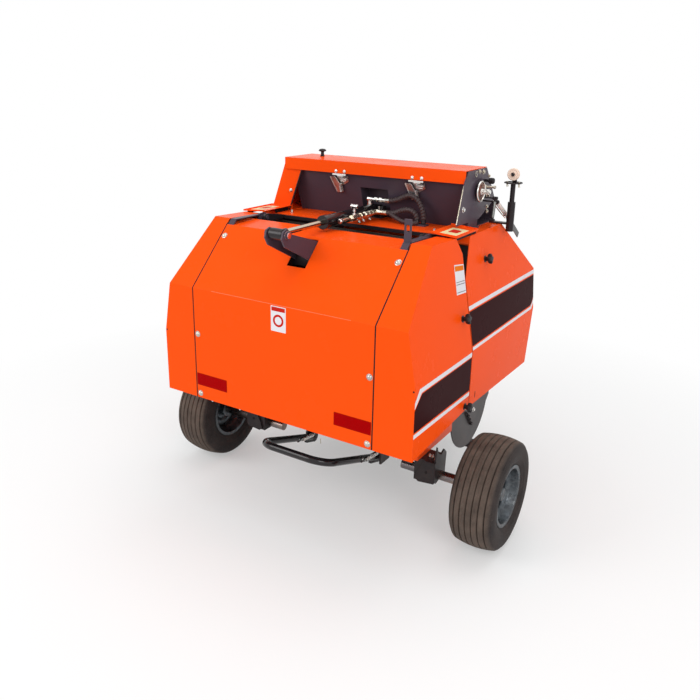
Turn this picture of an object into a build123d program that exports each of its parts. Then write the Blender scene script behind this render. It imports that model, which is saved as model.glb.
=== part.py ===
from build123d import *
import math
import os

# Mini round baler, millimetres, +Z up, +Y is the direction of travel, +X the machine's right.
# Places along Y are laid out from the tailgate's rear face; save() moves every sub-part back by
# origin_y, so that the origin lies on the floor under the middle of the whole machine.

# ---- driving sizes ---------------------------------------------------------------------------
origin_y = 597.5          # middle of the overall length, ahead of the tailgate's rear face
sheet = 2.5               # cover sheet
plate = 6.0               # side plates of the chamber
seam = 3.0                # gap between neighbouring covers
running_fit = 0.05        # radial clearance of a shaft in its bearing
loose = 0.3               # gap between pieces that rest on each other but move apart
side_gap = 5.0            # clearance between pieces that pass each other
past = 1.0                # how far a cut runs past the faces that it goes through

# bodywork, seen from the side
cover_bottom = 465.0      # lower edge of the tailgate cover
slope_foot = 883.0        # where the tailgate's rear face starts to lean forward
slope_rise = 1.0174       # rise of the leaning face for each mm forward
cover_fold_y = 194.0      # top fold of the middle cover
cap_fold_y = 213.0        # top fold of the side caps, higher up the same slope
panel_front_y = 320.0     # front edge of the tailgate's top panel
panel_rise = 5.0          # rise of that panel towards its front edge
cap_brow_y = 394.0        # from here the caps' top falls to their front edge
cap_front_y = 430.0       # front edge of the tailgate caps
body_rear_y = 436.0       # rear edge of the fixed side covers
body_top = 1085.0         # top of the fixed body
body_brow_y = 800.0       # front end of the flat top
brow_fall = 0.726         # fall of the brow for each mm forward
panel_nose_y = 1103.0     # front corner of the top panel
cover_nose_y = 1114.0     # front corner of the side covers
cover_skirt = 482.0       # lower edge of the fixed side covers

# baling chamber
chamber_half = 355.0      # inner face of the chamber's side plates
chamber_y = 430.0
chamber_z = 745.0
roller_ring = 275.0       # radius of the ring on which the rollers sit
roller_radius = 45.0      # over the ribs
roller_rib = 6.0          # height of the ribs
roller_ribs = 8
rib_width = 8.0
roller_wall = 4.0
roller_end = 6.0
roller_shaft = 12.5
hinge_y = 372.0           # tailgate hinge axis, level with the top of the body
hinge_z = body_top
hinge_pin = 8.0

# bodywork, seen from behind
seam_offset = 17.7        # from the chamber wall's inner face to the seam
seam_x = chamber_half + seam_offset   # seam between middle cover and side caps
side_x = 516.5            # widest plane of the side covers
side_fold_z = 702.0       # above this the covers lean inwards
side_lean = 0.18          # inward lean for each mm of height

# running gear
track_half = 631.0        # wheel centre from the middle
axle_y = 411.0
tyre_radius = 203.0
tyre_width = 165.0
rim_radius = 101.6
axle_radius = 18.0
spindle_radius = 15.0
axle_inner_x = 280.0
rail_bottom = 272.0       # low rails of the chamber's side walls, which carry the axle
rail_rear_y = 342.0
rail_front_y = 640.0
rail_height = 38.0

# lift cylinder of the tailgate
cylinder_z = body_top + 32.0
rod_eye_y = 10.0
cylinder_base_y = 635.0
barrel_radius = 22.5
barrel_rear_y = 270.0
rod_radius = 9.5
eye_radius = 19.0
ear_inner = 30.0          # half the gap between the bracket's ears
ear_plate = 6.0
eye_bolt = 8.0            # half of the eye bolt's shank

# twine and net box
box_height = 210.0        # above the top of the body
box_inset = 24.7          # its left end, inwards from the left seam
box_overhang = 22.3       # its right end, outwards from the right seam
box_left = box_inset - seam_x
box_right = seam_x + box_overhang
lid_top = body_top + box_height
lid_rear_y = 557.0
lid_front_y = 745.0
box_foot_y = 635.0
box_rear_y = 574.0        # top of the leaning rear panel
box_front_y = 838.0
rear_fold_drop = 45.0     # from the lid's top to the fold of the rear panel
box_brow_share = 0.405    # how high the front wall reaches between the body's top and the lid

# pickup
reel_y = 800.0
reel_z = 330.0
band_radius = 150.0
tine_tip = 185.0
tine_pitch = 72.0
band_width = 56.0
tine_radius = 3.0

# bale kicker
kicker_half = 152.0
kicker_pivot_y = 443.0
kicker_pivot_z = 180.0
kicker_rear_y = 72.0
kicker_rear_z = 312.0
kicker_tube = 14.0

# three-point hitch and drive
hitch_y = 1165.0          # lower link pins and top link hole
hitch_z = 430.0
mast_height = 460.0
link_shoulder = 341.5     # half the distance between the lower links' shoulders
lower_pin = 11.0
top_pin_hole = 9.75
beam_size = 60.0
shaft_z = 590.0
shaft_radius = 17.3
shaft_tip_y = 1212.0
shoulder_radius = 20.0    # plain part of the input shaft, behind the splines
shoulder_length = 30.0
stand_x = 260.0
stand_tube = 40.0

os.makedirs("parts", exist_ok=True)


# ---- shapes used all over --------------------------------------------------------------------
def save(name, *solids):
    """Write one sub-part, moved so that the origin is under the middle of the machine."""
    moved = [Pos(0, -origin_y, 0) * solid for solid in solids]
    export_step(moved[0] if len(moved) == 1 else Compound(children=moved), f"parts/{name}.step")


def both_sides(name, right):
    """Write a right-hand sub-part and its mirror image."""
    save(f"{name}_right", right)
    save(f"{name}_left", mirror(right, about=Plane.YZ))


def block(x_from, x_to, y_from, y_to, z_from, z_to):
    """A box between two corners."""
    size = (x_to - x_from, y_to - y_from, z_to - z_from)
    return Pos(x_from, y_from, z_from) * Box(*size, align=(Align.MIN, Align.MIN, Align.MIN))


def prism_x(outline, x_from, x_to):
    """A (y, z) outline extruded along X."""
    face = make_face(Polyline([(x_from, y, z) for y, z in outline], close=True))
    return extrude(face, amount=x_to - x_from, dir=(1, 0, 0))


def prism_y(outline, y_from, y_to):
    """An (x, z) outline extruded along Y."""
    face = make_face(Polyline([(x, y_from, z) for x, z in outline], close=True))
    return extrude(face, amount=y_to - y_from, dir=(0, 1, 0))


def rod(start, end, radius):
    """A round bar between two points."""
    run = Vector(*end) - Vector(*start)
    bar = Cylinder(radius, run.length, align=(Align.CENTER, Align.CENTER, Align.MIN))
    return Plane(origin=start, z_dir=run) * bar


def rod_x(x_from, x_to, y, z, radius):
    """A round bar along X."""
    return rod((x_from, y, z), (x_to, y, z), radius)


def rod_y(y_from, y_to, x, z, radius):
    """A round bar along Y."""
    return rod((x, y_from, z), (x, y_to, z), radius)


def span(side, inner, outer):
    """The stretch of X between two distances from the middle, on the right (1) or the left (-1)."""
    return sorted((side * inner, side * outer))


def around(y, z, offsets):
    """(y, z) points given by their offsets from a middle."""
    return [(y + along, z + up) for along, up in offsets]


def right_of(points, depth):
    """A polyline moved to its right by depth, with mitred corners."""
    moved = []
    for index, (u, v) in enumerate(points):
        normals = []
        for first in (index - 1, index):
            if 0 <= first < len(points) - 1:
                step = Vector(*points[first + 1]) - Vector(*points[first])
                normals.append(Vector(step.Y, -step.X) / step.length)
        mitre = (normals[0] + normals[-1]) / (1 + normals[0].dot(normals[-1]))
        moved.append((u + mitre.X * depth, v + mitre.Y * depth))
    return moved


def folded_x(points, thickness, x_from, x_to):
    """A folded sheet: the (y, z) polyline is its left skin, and thickness lies to the right."""
    return prism_x(points + right_of(points, thickness)[::-1], x_from, x_to)


def slope_z(y):
    """Height of the tailgate's leaning face."""
    return slope_foot + slope_rise * y


def brow_z(y):
    """Height of the brow that falls from the flat top to the nose."""
    return body_top - brow_fall * (y - body_brow_y)


def side_at(z):
    """Outer face of the side covers at a height."""
    return side_x - side_lean * max(0.0, z - side_fold_z)


# ---- tailgate --------------------------------------------------------------------------------
cover_top = slope_z(cover_fold_y)
cap_top = slope_z(cap_fold_y)
cover_line = [(0, cover_bottom), (0, slope_foot), (cover_fold_y, cover_top),
              (panel_front_y, cover_top + panel_rise)]
gate_inner = right_of(cover_line, sheet)
bottom_lip = 20.0         # lip under the middle cover
slot_half = ear_inner + ear_plate + 2.0   # slot in the cover for the cylinder's bracket
slot_from_y = 106.0
slot_to_y = 188.0
slot_rim = 6.0            # cover left between the slot and the fold


def tailgate_cover():
    """Middle sheet of the tailgate, folded at the top, with the slot for the cylinder bracket."""
    line = [(bottom_lip, cover_bottom)] + cover_line
    half = seam_x - seam / 2
    cover = folded_x(line, sheet, -half, half)
    slot_low = slope_z(slot_from_y) - 2 * sheet
    return cover - block(-slot_half, slot_half, slot_from_y, slot_to_y, slot_low, cover_top - slot_rim)


wedge_margin = 65.0       # how far the wedge runs past the covers, above and below


def outer_wedge(y_from, y_to, inner_x, inset):
    """Block whose outer face follows the folded side of the bodywork."""
    low = cover_bottom - wedge_margin
    high = body_top + wedge_margin
    outer = [(side_x - inset, low), (side_x - inset, side_fold_z), (side_at(high) - inset, high)]
    return prism_y([(inner_x, low)] + outer + [(inner_x, high)], y_from, y_to)


cap_brow_z = cap_top - 6.7     # the caps' top falls a little towards the brow
cap_nose_z = cap_brow_z - 56.0
cap_toe_z = cover_bottom + 26.0   # the caps' lower edge rises towards the front
cap_outline = [(0, cover_bottom), (0, slope_foot), (cap_fold_y, cap_top), (cap_brow_y, cap_brow_z),
               (cap_front_y, cap_nose_z), (cap_front_y, cap_toe_z)]


def tailgate_cap():
    """Hollow side cap of the tailgate, open towards the chamber and at its front edge."""
    inner_x = seam_x + seam / 2
    skin = prism_x(cap_outline, inner_x, side_x) & outer_wedge(0, cap_front_y, inner_x, 0)
    rear_line = right_of(cap_outline[:5], sheet)
    rear_foot = (sheet, cover_bottom + sheet)
    opening = [(cap_front_y + past, cap_nose_z - sheet), (cap_front_y + past, cap_toe_z + sheet)]
    hollow = prism_x([rear_foot] + rear_line[1:4] + opening, inner_x - past, side_x)
    return skin - (hollow & outer_wedge(0, cap_front_y + past, inner_x - past, sheet))


def ring_point(angle):
    """A (y, z) place on the ring of rollers, the angle measured up from forward."""
    turn = math.radians(angle)
    return chamber_y + roller_ring * math.cos(turn), chamber_z + roller_ring * math.sin(turn)


tailgate_rollers = (126, 162, 198, 234)   # their places on the ring
chamber_rollers = (84, 36, -8, -82)


def bored(wall, angles):
    """One side wall of the chamber with bearing bores for the rollers."""
    through = (chamber_half - past, chamber_half + plate + past)
    for angle in angles:
        wall -= rod_x(*through, *ring_point(angle), roller_shaft + running_fit)
    return wall


wall_low = cover_bottom + 10.0    # lower edge of the tailgate's side walls
wall_front_y = cap_front_y - 2.0
flange = 4.0              # flanges of the side walls under the covers
flange_reach = 14.0       # how far they run past the seam
flange_end = 6.0          # how far the tailgate's flange stops behind the fold
hinge_ear = 8.0


def tailgate_plate():
    """Rear half of the chamber's side wall, flanged outwards under the covers, with the hinge pin."""
    top = gate_inner[2]
    hinge_edge = [(hinge_y - 27, top[1]), (hinge_y + 20, hinge_z - 23), (wall_front_y, hinge_z - 75)]
    front_foot = [(wall_front_y, wall_low + 25), (wall_front_y - 48, wall_low + 3)]
    web = prism_x([(sheet, wall_low), gate_inner[1], top] + hinge_edge + front_foot, chamber_half,
                  chamber_half + plate)
    edge_line = [(sheet, wall_low), gate_inner[1], (top[0] - flange_end, top[1] - flange_end * slope_rise)]
    edge = folded_x(edge_line, flange, chamber_half + plate, seam_x + flange_reach)
    pin = rod_x(chamber_half - 33, chamber_half, hinge_y, hinge_z, hinge_pin)
    ear = prism_x(around(hinge_y, hinge_z, [(-22, -15), (-22, 15), (22, 15), (22, -29)]),
                  chamber_half - hinge_ear, chamber_half)
    return bored(web + edge + pin + ear, tailgate_rollers)


def roller(angle):
    """Ribbed drum roller with a stub shaft in each side plate."""
    y, z = ring_point(angle)
    half = chamber_half - side_gap
    drum_radius = roller_radius - roller_rib
    rib_middle = drum_radius - 1
    drum = Circle(drum_radius) - Circle(drum_radius - roller_wall)
    ribs = PolarLocations(rib_middle, roller_ribs) * Rectangle(2 * roller_rib, rib_width)
    body = Plane(origin=(-half, y, z), z_dir=(1, 0, 0)) * extrude(drum + ribs, amount=2 * half)
    for end in (-half, half - roller_end):
        body += rod_x(end, end + roller_end, y, z, rib_middle)
    reach = chamber_half + plate
    return body + rod_x(-reach, -half, y, z, roller_shaft) + rod_x(half, reach, y, z, roller_shaft)


crossbar_y = (150.0, 190.0)
crossbar_z = (985.0, 1025.0)
crossbar_wall = 4.0


def tailgate_crossbar():
    """Square tube across the tailgate that carries the cylinder bracket."""
    outer = block(-chamber_half, chamber_half, *crossbar_y, *crossbar_z)
    reach = chamber_half + past
    return outer - block(-reach, reach, crossbar_y[0] + crossbar_wall, crossbar_y[1] - crossbar_wall,
                         crossbar_z[0] + crossbar_wall, crossbar_z[1] - crossbar_wall)


bolt_head = 13.0          # radius of the eye bolt's head
bolt_head_length = 9.0
ear_nose = [(23, 0), (0, 20), (-20, 13), (-27, -10), (-11, -37)]   # round the eye bolt, from its middle
web_drop = 33.0           # web between the ears: its start below and ahead of the eye bolt
web_start = 56.0
web_length = 102.0
web_fall = 38.0


def cylinder_bracket():
    """Two ears that rise through the cover's slot, joined by a web, each with its stub of the eye bolt."""
    rear, front = crossbar_y
    bar_top = crossbar_z[1]
    foot = [(rear, bar_top - 20.5), (rear, bar_top), (front, bar_top), (front, bar_top + 42)]
    outline = around(rod_eye_y, cylinder_z, ear_nose) + foot
    result = None
    for side in (-1, 1):
        ear = prism_x(outline, *span(side, ear_inner, ear_inner + ear_plate))
        head = span(side, ear_inner + ear_plate, ear_inner + ear_plate + bolt_head_length)
        ear += rod_x(*head, rod_eye_y, cylinder_z, bolt_head)
        result = ear if result is None else result + ear
    web = around(rod_eye_y + web_start, cylinder_z - web_drop,
                 [(0, 0), (0, -ear_plate), (web_length, -ear_plate - web_fall), (web_length, -web_fall)])
    return result + prism_x(web, -ear_inner, ear_inner)


strap_inner = 30.0        # the strap's edges, towards the middle from the seam
strap_outer = 5.0
strap_front_y = 350.0
strap_thick = 4.0
strap_foot = 6.0          # how far its foot lies on the cover's top panel


def top_strap():
    """Bent strap beside the seam, flush with the cap's slope and top, its foot on the cover's top panel."""
    front_z = cap_top - strap_thick / 2
    foot_z = cover_top + strap_foot * panel_rise / (panel_front_y - cover_fold_y)
    skin = [(cover_fold_y, cover_top), (cap_fold_y, cap_top), (strap_front_y, front_z)]
    under = [(strap_front_y, front_z - strap_thick), (cap_fold_y + strap_thick / 2, cap_top - strap_thick),
             (cover_fold_y + strap_foot, foot_z)]
    return prism_x(skin + under, seam_x - strap_inner, seam_x - strap_outer)


eye_plate = 5.0
eye_height = 74.0         # above the caps' top fold
eye_slot = (40.0, 50.0)   # ends of the slot's middle line above the fold
eye_slot_radius = 7.0


def lifting_eye():
    """Upright plate with a slot on the right-hand strap."""
    rear = cap_fold_y + strap_thick
    front = rear + eye_plate
    eye = block(seam_x - strap_inner, seam_x - strap_outer, rear, front, cap_top - 3, cap_top + eye_height)
    middle = seam_x - (strap_inner + strap_outer) / 2
    low, high = (cap_top + height for height in eye_slot)
    for end in (low, high):
        eye -= rod_y(rear - past, front + past, middle, end, eye_slot_radius)
    edges = (middle - eye_slot_radius, middle + eye_slot_radius)
    return eye - block(*edges, rear - past, front + past, low, high)


knob_stem = 7.0
knob_head = 15.0
stem_length = 8.0
knob_length = 26.0
cap_knob_places = ((397.0, 820.0), (413.0, 498.0))   # (y, z)
cover_knob_place = (632.0, 976.0)


def knob(y, z):
    """Round hand knob standing out of the side cover."""
    lean = Vector(1, 0, side_lean if z > side_fold_z else 0).normalized()
    foot = Vector(side_at(z), y, z)
    neck = tuple(foot + lean * stem_length)
    return rod(tuple(foot), neck, knob_stem) + rod(neck, tuple(foot + lean * knob_length), knob_head)


save("tailgate_cover", tailgate_cover())
both_sides("tailgate_cap", tailgate_cap())
both_sides("tailgate_plate", tailgate_plate())
for number, angle in enumerate(tailgate_rollers, start=1):
    save(f"tailgate_roller_{number}", roller(angle))
save("tailgate_crossbar", tailgate_crossbar())
save("cylinder_bracket", cylinder_bracket())
strap = top_strap()
save("top_straps", strap + lifting_eye(), mirror(strap, about=Plane.YZ))
cap_knobs = [knob(*place) for place in cap_knob_places]
save("cap_knobs", *cap_knobs, *[mirror(one, about=Plane.YZ) for one in cap_knobs])

# ---- lift cylinder ---------------------------------------------------------------------------
base_neck = 33.0          # from the barrel's front end to the base pin
rod_inside = 60.0         # how much of the rod is in the barrel when it is extended
stroke_room = 130.0       # depth of the bore behind the rod's inner end
barrel_front_y = cylinder_base_y - base_neck
rod_inner_y = barrel_rear_y + rod_inside
base_half = 24.0
base_pin = 10.0
base_eye = 18.0
neck_half = (16.0, 14.0)  # half width and half height of the neck before the base eye
gland_lip = 2.0
gland_from = 6.0          # the gland starts this far behind the barrel
gland_length = 24.0


def cylinder_barrel():
    """Barrel with its gland and base eye; bored for the rod."""
    body = rod_y(barrel_rear_y, barrel_front_y, 0, cylinder_z, barrel_radius)
    gland_y = barrel_rear_y - gland_from
    body += rod_y(gland_y, gland_y + gland_length, 0, cylinder_z, barrel_radius + gland_lip)
    body += block(-neck_half[0], neck_half[0], barrel_front_y - 2, cylinder_base_y, cylinder_z - neck_half[1],
                  cylinder_z + neck_half[1])
    body += rod_x(-base_half, base_half, cylinder_base_y, cylinder_z, base_eye)
    body -= rod_x(-base_half - past, base_half + past, cylinder_base_y, cylinder_z, base_pin + running_fit)
    bore_end = rod_inner_y + stroke_room
    return body - rod_y(gland_y - past, bore_end, 0, cylinder_z, rod_radius + running_fit)


line_offset = 14.0        # steel line beside the barrel
line_radius = 6.0
low_union_y = cylinder_base_y - 60.0
top_union_y = cylinder_base_y - 47.0
line_ends = (barrel_rear_y + 48.0, low_union_y + 11.0)
line_fittings = ((50.0, 70.0, 10.0), (122.0, 170.0, 11.0), (270.0, 292.0, 9.0))   # (from, to, radius)
line_clips = ((53.0, 67.0), (275.0, 288.0))      # both from the barrel's rear end
handle_y = barrel_rear_y + 146.0
handle_rise = 43.0
handle_half = 14.0
handle_radius = 5.0
clip_half = 7.0
union_radius = 8.0
elbow_radius = 7.0


def off_barrel(piece):
    """The piece without what lies inside the barrel."""
    return piece - rod_y(barrel_rear_y - gland_from, barrel_front_y + 2, 0, cylinder_z, barrel_radius)


def lock_valve():
    """Steel line along the barrel with the shut-off valve, its T handle and the lower hose union."""
    line_x = barrel_radius + line_offset
    line = rod_y(*line_ends, line_x, cylinder_z, line_radius)
    for start, end, radius in line_fittings:
        line += rod_y(barrel_rear_y + start, barrel_rear_y + end, line_x, cylinder_z, radius)
    for start, end in line_clips:
        line += block(barrel_radius - line_radius, line_x, barrel_rear_y + start, barrel_rear_y + end,
                      cylinder_z - clip_half, cylinder_z + clip_half)
    line += rod((line_x, handle_y, cylinder_z), (line_x, handle_y, cylinder_z + handle_rise), 4)
    handle = (line_x - handle_half, line_x + handle_half)
    line += rod_x(*handle, handle_y, cylinder_z + handle_rise, handle_radius)
    line += rod_x(line_x - elbow_radius, hose_low[0][0], low_union_y, cylinder_z, union_radius)
    return off_barrel(line)


def port_elbow():
    """Elbow on top of the barrel's base end with the upper hose union."""
    high = hose_top[0][2]
    elbow = rod((0, top_union_y, cylinder_z + barrel_radius - 4), (0, top_union_y, high), elbow_radius)
    elbow += rod_x(-elbow_radius - 2, hose_top[0][0], top_union_y, high, union_radius)
    return off_barrel(elbow)


rod_collar = 4.0
rod_neck = 14.0           # from the eye bolt to the collar
rod_neck_length = 28.0


def cylinder_rod():
    """Chromed rod with its eye; the eye bolt's stubs stay with the ears."""
    neck_y = rod_eye_y + rod_neck
    body = rod_y(neck_y - 2, rod_inner_y, 0, cylinder_z, rod_radius)
    body += rod_y(neck_y, neck_y + rod_neck_length, 0, cylinder_z, rod_radius + rod_collar)
    body += rod_x(-ear_inner + side_gap, ear_inner - side_gap, rod_eye_y, cylinder_z, eye_radius)
    return body - rod_x(-ear_inner, ear_inner, rod_eye_y, cylinder_z, eye_bolt + 1)


# hoses: routes from the unions on the cylinder to the clamp on the top panel (x, y, z)
hose_radius = 6.5
hose_top = [(60, top_union_y, 1161), (92, top_union_y, 1161), (126, 583, 1171), (163, 578, 1190),
            (187, 576, 1190), (207, 576, 1178), (220, 577, 1158), (229, 578, 1135), (233, 579, 1112),
            (233, 579, 1091)]
hose_low = [(57, low_union_y, cylinder_z), (110, low_union_y, cylinder_z), (140, 572, 1132), (169, 570, 1140),
            (188, 570, 1137), (203, 571, 1126), (211, 571, 1109), (211, 571, 1091)]


def hose(name, route):
    """Round hose of straight runs joined by tangent arcs as large as the runs allow."""
    radii = []
    for before, here, after in zip(route, route[1:], route[2:]):
        first = Vector(*here) - Vector(*before)
        second = Vector(*after) - Vector(*here)
        half_turn = math.radians(first.get_angle(second)) / 2
        radii.append(0.45 * min(first.length, second.length) / math.tan(half_turn))
    path = FilletPolyline(*route, radius=radii)
    tube = sweep(Plane(origin=path @ 0, z_dir=path % 0) * Circle(hose_radius), path=path)
    print(name, "radii", [round(radius) for radius in radii], "volume ratio",
          round(tube.volume / (path.length * math.pi * hose_radius ** 2), 4))
    return tube


clevis_plate = 8.0
clevis_half = 22.0        # half its length along Y
clevis_floor = 5.0


def cylinder_base():
    """Clevis on the top panel with the pin through the cylinder's base eye."""
    inner = base_half + side_gap
    outer = inner + clevis_plate
    clevis = block(-outer, outer, cylinder_base_y - clevis_half, cylinder_base_y + clevis_half, body_top,
                   body_top + clevis_floor)
    top = cylinder_z + neck_half[1]
    rear, front = cylinder_base_y - clevis_half, cylinder_base_y + clevis_half
    cheek = [(rear, body_top), (rear, body_top + 12), (rear + base_pin, top), (front - base_pin, top),
             (front, body_top + 12), (front, body_top)]
    for side in (-1, 1):
        clevis += prism_x(cheek, *span(side, inner, outer))
    return clevis + rod_x(-outer - 4, outer + 4, cylinder_base_y, cylinder_z, base_pin)


clamp_x = (196.0, 248.0)
clamp_y = (560.0, 592.0)


def hose_clamp():
    """Block bolted to the top panel where both hoses go down to the machine's own pipes."""
    return block(*clamp_x, *clamp_y, body_top, hose_top[-1][2])


save("cylinder_barrel", cylinder_barrel())
save("lock_valve", lock_valve(), port_elbow())
save("cylinder_rod", cylinder_rod())
save("cylinder_base", cylinder_base())
save("hose_clamp", hose_clamp())
save("hose_top", hose("hose_top", hose_top))
save("hose_low", hose("hose_low", hose_low))

# ---- fixed body ------------------------------------------------------------------------------
chin_y = 1074.0           # corner below the nose of the side covers
chin_z = 719.0
toe_y = 1026.0            # front end of their lower edge
shoulder_y = 505.0        # where their rear edge meets the top, and where it starts to lean
shoulder_z = 950.0
skirt_fall = 8.0          # half the fall of their lower edge from rear to front
top_rear_y = 472.0        # rear edge of the top panel
wall_rear_y = body_rear_y + 2.0
wall_top_z = 1000.0       # top of the chamber wall's rear edge
wall_heel_z = 440.0       # and its foot, above the low rail
wall_nose = (1028.0, 600.0)   # (y, z) below the side cover's chin
wall_arm_y = 1010.0       # front edge of the wall beside the pickup
wall_toe_y = 930.0
body_line = [(top_rear_y, body_top), (body_brow_y, body_top), (panel_nose_y, brow_z(panel_nose_y)),
             (chin_y - 12, chin_z - 19)]
body_inner = right_of(body_line, sheet)
flange_rear_y = 512.0


def chamber_plate():
    """Front half of the chamber's side wall with the low rail that reaches back over the axle."""
    outer = chamber_half + plate
    rail_end = [(rail_rear_y, rail_bottom), (rail_rear_y, rail_bottom + 68), (wall_rear_y, wall_heel_z)]
    rear_edge = [(wall_rear_y, wall_top_z), (top_rear_y, body_top - 27)]
    arm_top = (wall_arm_y, wall_nose[1] - 100)
    front_edge = [wall_nose, arm_top, (wall_arm_y, reel_z), (wall_toe_y, rail_bottom)]
    web = prism_x(rail_end + rear_edge + body_inner + front_edge, chamber_half, outer)
    web += block(outer, seam_x + past, rail_rear_y, rail_front_y, rail_bottom, rail_bottom + rail_height)
    edge_line = [(flange_rear_y, body_inner[0][1])] + body_inner[1:3]
    web += folded_x(edge_line, flange, outer, seam_x + flange_reach)
    reel_bore = rod_x(chamber_half - past, outer + past, reel_y, reel_z, roller_shaft + running_fit)
    return bored(web, chamber_rollers) - reel_bore


def top_panel():
    """Folded sheet over the front body: flat top, sloping brow and nose."""
    half = seam_x - seam / 2
    return folded_x(body_line, sheet, -half, half)


beam_depth = 60.0         # angle beam under the rear edge of the top panel
beam_thick = 6.0
beam_lip = 13.0
lug_thick = 10.0
lug_gap = 11.0            # from a lug to the hinge ear beside it


def cross_beam():
    """Angle beam under the rear edge of the top panel, with lugs back to the tailgate hinge."""
    high = body_top - sheet
    lip_y = top_rear_y + 8
    beam = block(-chamber_half, chamber_half, top_rear_y, top_rear_y + beam_depth, high - beam_thick, high)
    beam += block(-chamber_half, chamber_half, top_rear_y, lip_y, high - beam_lip, high)
    ear_face = chamber_half - hinge_ear
    round_hinge = around(hinge_y, hinge_z, [(0, -16), (-14, -8), (-8, 13), (12, 13)])
    outline = round_hinge + [(top_rear_y - 4, high), (lip_y, high), (lip_y, high - beam_lip)]
    for side in (-1, 1):
        near, far = span(side, ear_face - lug_gap - lug_thick, ear_face - lug_gap)
        beam += prism_x(outline, near, far)
        beam -= rod_x(near - past, far + past, hinge_y, hinge_z, hinge_pin + running_fit)
    return beam


guard_rise = 19.0         # tray of the hinge guard above the top panel
guard_x = 452.0
guard_rear_y = 386.0
guard_front_y = 559.0
guard_foot_y = 480.0
guard_lip = 2.0
guard_lip_height = 7.0
guard_overlap = 10.0      # how far the tray and its foot reach inwards over the seam


def hinge_guard():
    """Tray over the tailgate hinge, bolted to the top panel."""
    low = body_top + guard_rise
    inner = seam_x - guard_overlap
    tray = block(inner, guard_x, guard_rear_y, guard_front_y, low, low + sheet)
    tray += block(guard_x - guard_lip, guard_x, guard_rear_y, guard_front_y, low, low + guard_lip_height)
    tray += block(inner, guard_x, guard_front_y - guard_lip, guard_front_y, low, low + guard_lip_height)
    return tray + block(inner, inner + plate, guard_foot_y, guard_front_y, body_top, low)


side_outline = [(body_rear_y, cover_skirt + skirt_fall), (body_rear_y, shoulder_z), (shoulder_y, body_top),
                (body_brow_y, body_top), (cover_nose_y, brow_z(cover_nose_y)), (chin_y, chin_z),
                (toe_y, cover_skirt - skirt_fall)]


def side_cover():
    """Hollow side cover of the fixed body, open towards the chamber and at its rear edge."""
    inner_x = seam_x + seam / 2
    reach = (body_rear_y - wedge_margin, cover_nose_y + wedge_margin)
    skin = prism_x(side_outline, inner_x, side_x) & outer_wedge(*reach, inner_x, 0)
    front = right_of(side_outline[2:], sheet)
    back = [(body_rear_y - past, shoulder_z), (shoulder_y - past, front[0][1])]
    floor = [(body_rear_y - past, cover_skirt + skirt_fall + sheet), (front[-1][0], front[-1][1] + sheet)]
    hollow = prism_x([floor[0]] + back + front[1:-1] + [floor[1]], inner_x - past, side_x)
    return skin - (hollow & outer_wedge(*reach, inner_x - past, sheet))


both_sides("chamber_plate", chamber_plate())
save("top_panel", top_panel())
save("cross_beam", cross_beam())
guard = hinge_guard()
save("hinge_guards", guard, mirror(guard, about=Plane.YZ))
both_sides("side_cover", side_cover())
for number, angle in enumerate(chamber_rollers, start=1):
    save(f"chamber_roller_{number}", roller(angle))
cover_knob = knob(*cover_knob_place)
save("cover_knobs", cover_knob, mirror(cover_knob, about=Plane.YZ))

# ---- running gear ----------------------------------------------------------------------------
hub_inner = -45.0          # hub ends, from the middle of the wheel
hub_outer = 34.0
hub_radius = 34.0
hub_play = 1.0
axle_nut = 20.0
axle_nut_length = 9.0
rim_half = tyre_width / 2 - 13
rim_wall = 3.0
disc_faces = (-20.0, -14.0)
flange_lip = 3.0
flange_height = 11.0
hub_inner_x = track_half + hub_inner
hub_outer_x = track_half + hub_outer


def stub_axle():
    """Round axle bar with its turned spindle and end nut."""
    bar = rod_x(axle_inner_x, hub_inner_x - hub_play, axle_y, tyre_radius, axle_radius)
    bar += rod_x(hub_inner_x - hub_play, hub_outer_x + hub_play, axle_y, tyre_radius, spindle_radius)
    nut = hub_outer_x + hub_play
    return bar + rod_x(nut, nut + axle_nut_length, axle_y, tyre_radius, axle_nut)


clamp_inner_x = chamber_half - 5.0
clamp_outer_x = 430.0
clamp_rear = 45.0         # from the axle's middle to the clamp's rear face
gusset_thick = 8.0
clamp_drop = 21.0         # from the axle's middle to the clamp's foot
clamp_front = 42.0        # from the axle's middle to the clamp's front face


def axle_clamp():
    """Clamp block under the low rail, with a gusset plate behind and a hooked plate outside."""
    rear_y = axle_y - clamp_rear
    front_y = axle_y + clamp_front
    clamp = block(clamp_inner_x, clamp_outer_x, rear_y, front_y, tyre_radius - clamp_drop, rail_bottom)
    gusset = [(clamp_inner_x + 9, tyre_radius - 12), (clamp_inner_x + 22, tyre_radius - 22),
              (clamp_outer_x, tyre_radius - 16), (clamp_outer_x + 7, tyre_radius - 8),
              (clamp_outer_x + 7, rail_bottom), (clamp_inner_x + 44, rail_bottom),
              (clamp_inner_x + 18, tyre_radius + 20)]
    clamp += prism_y(gusset, rear_y - gusset_thick, rear_y)
    hook = around(axle_y, tyre_radius, [(-36, 128), (-45, 80), (-45, -12), (-36, -20), (41, -6), (46, 76),
                                        (26, 96), (0, 84), (-26, 100)])
    clamp += prism_x(hook, clamp_outer_x, clamp_outer_x + plate)
    return clamp - rod_x(axle_inner_x, side_x, axle_y, tyre_radius, axle_radius)


def around_wheel(section):
    """A section drawn as (x from the wheel's middle, radius), turned about the wheel's axis."""
    face = Pos(track_half, axle_y, tyre_radius) * section
    return revolve(face, axis=Axis((track_half, axle_y, tyre_radius), (1, 0, 0)))


tread_crown = 9.0         # fall of the tread from its middle to the shoulders
tread_inset = 14.0        # from the widest part of the tyre to the tread's edge
bulge_radius = 155.0      # where the side wall is widest


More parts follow.
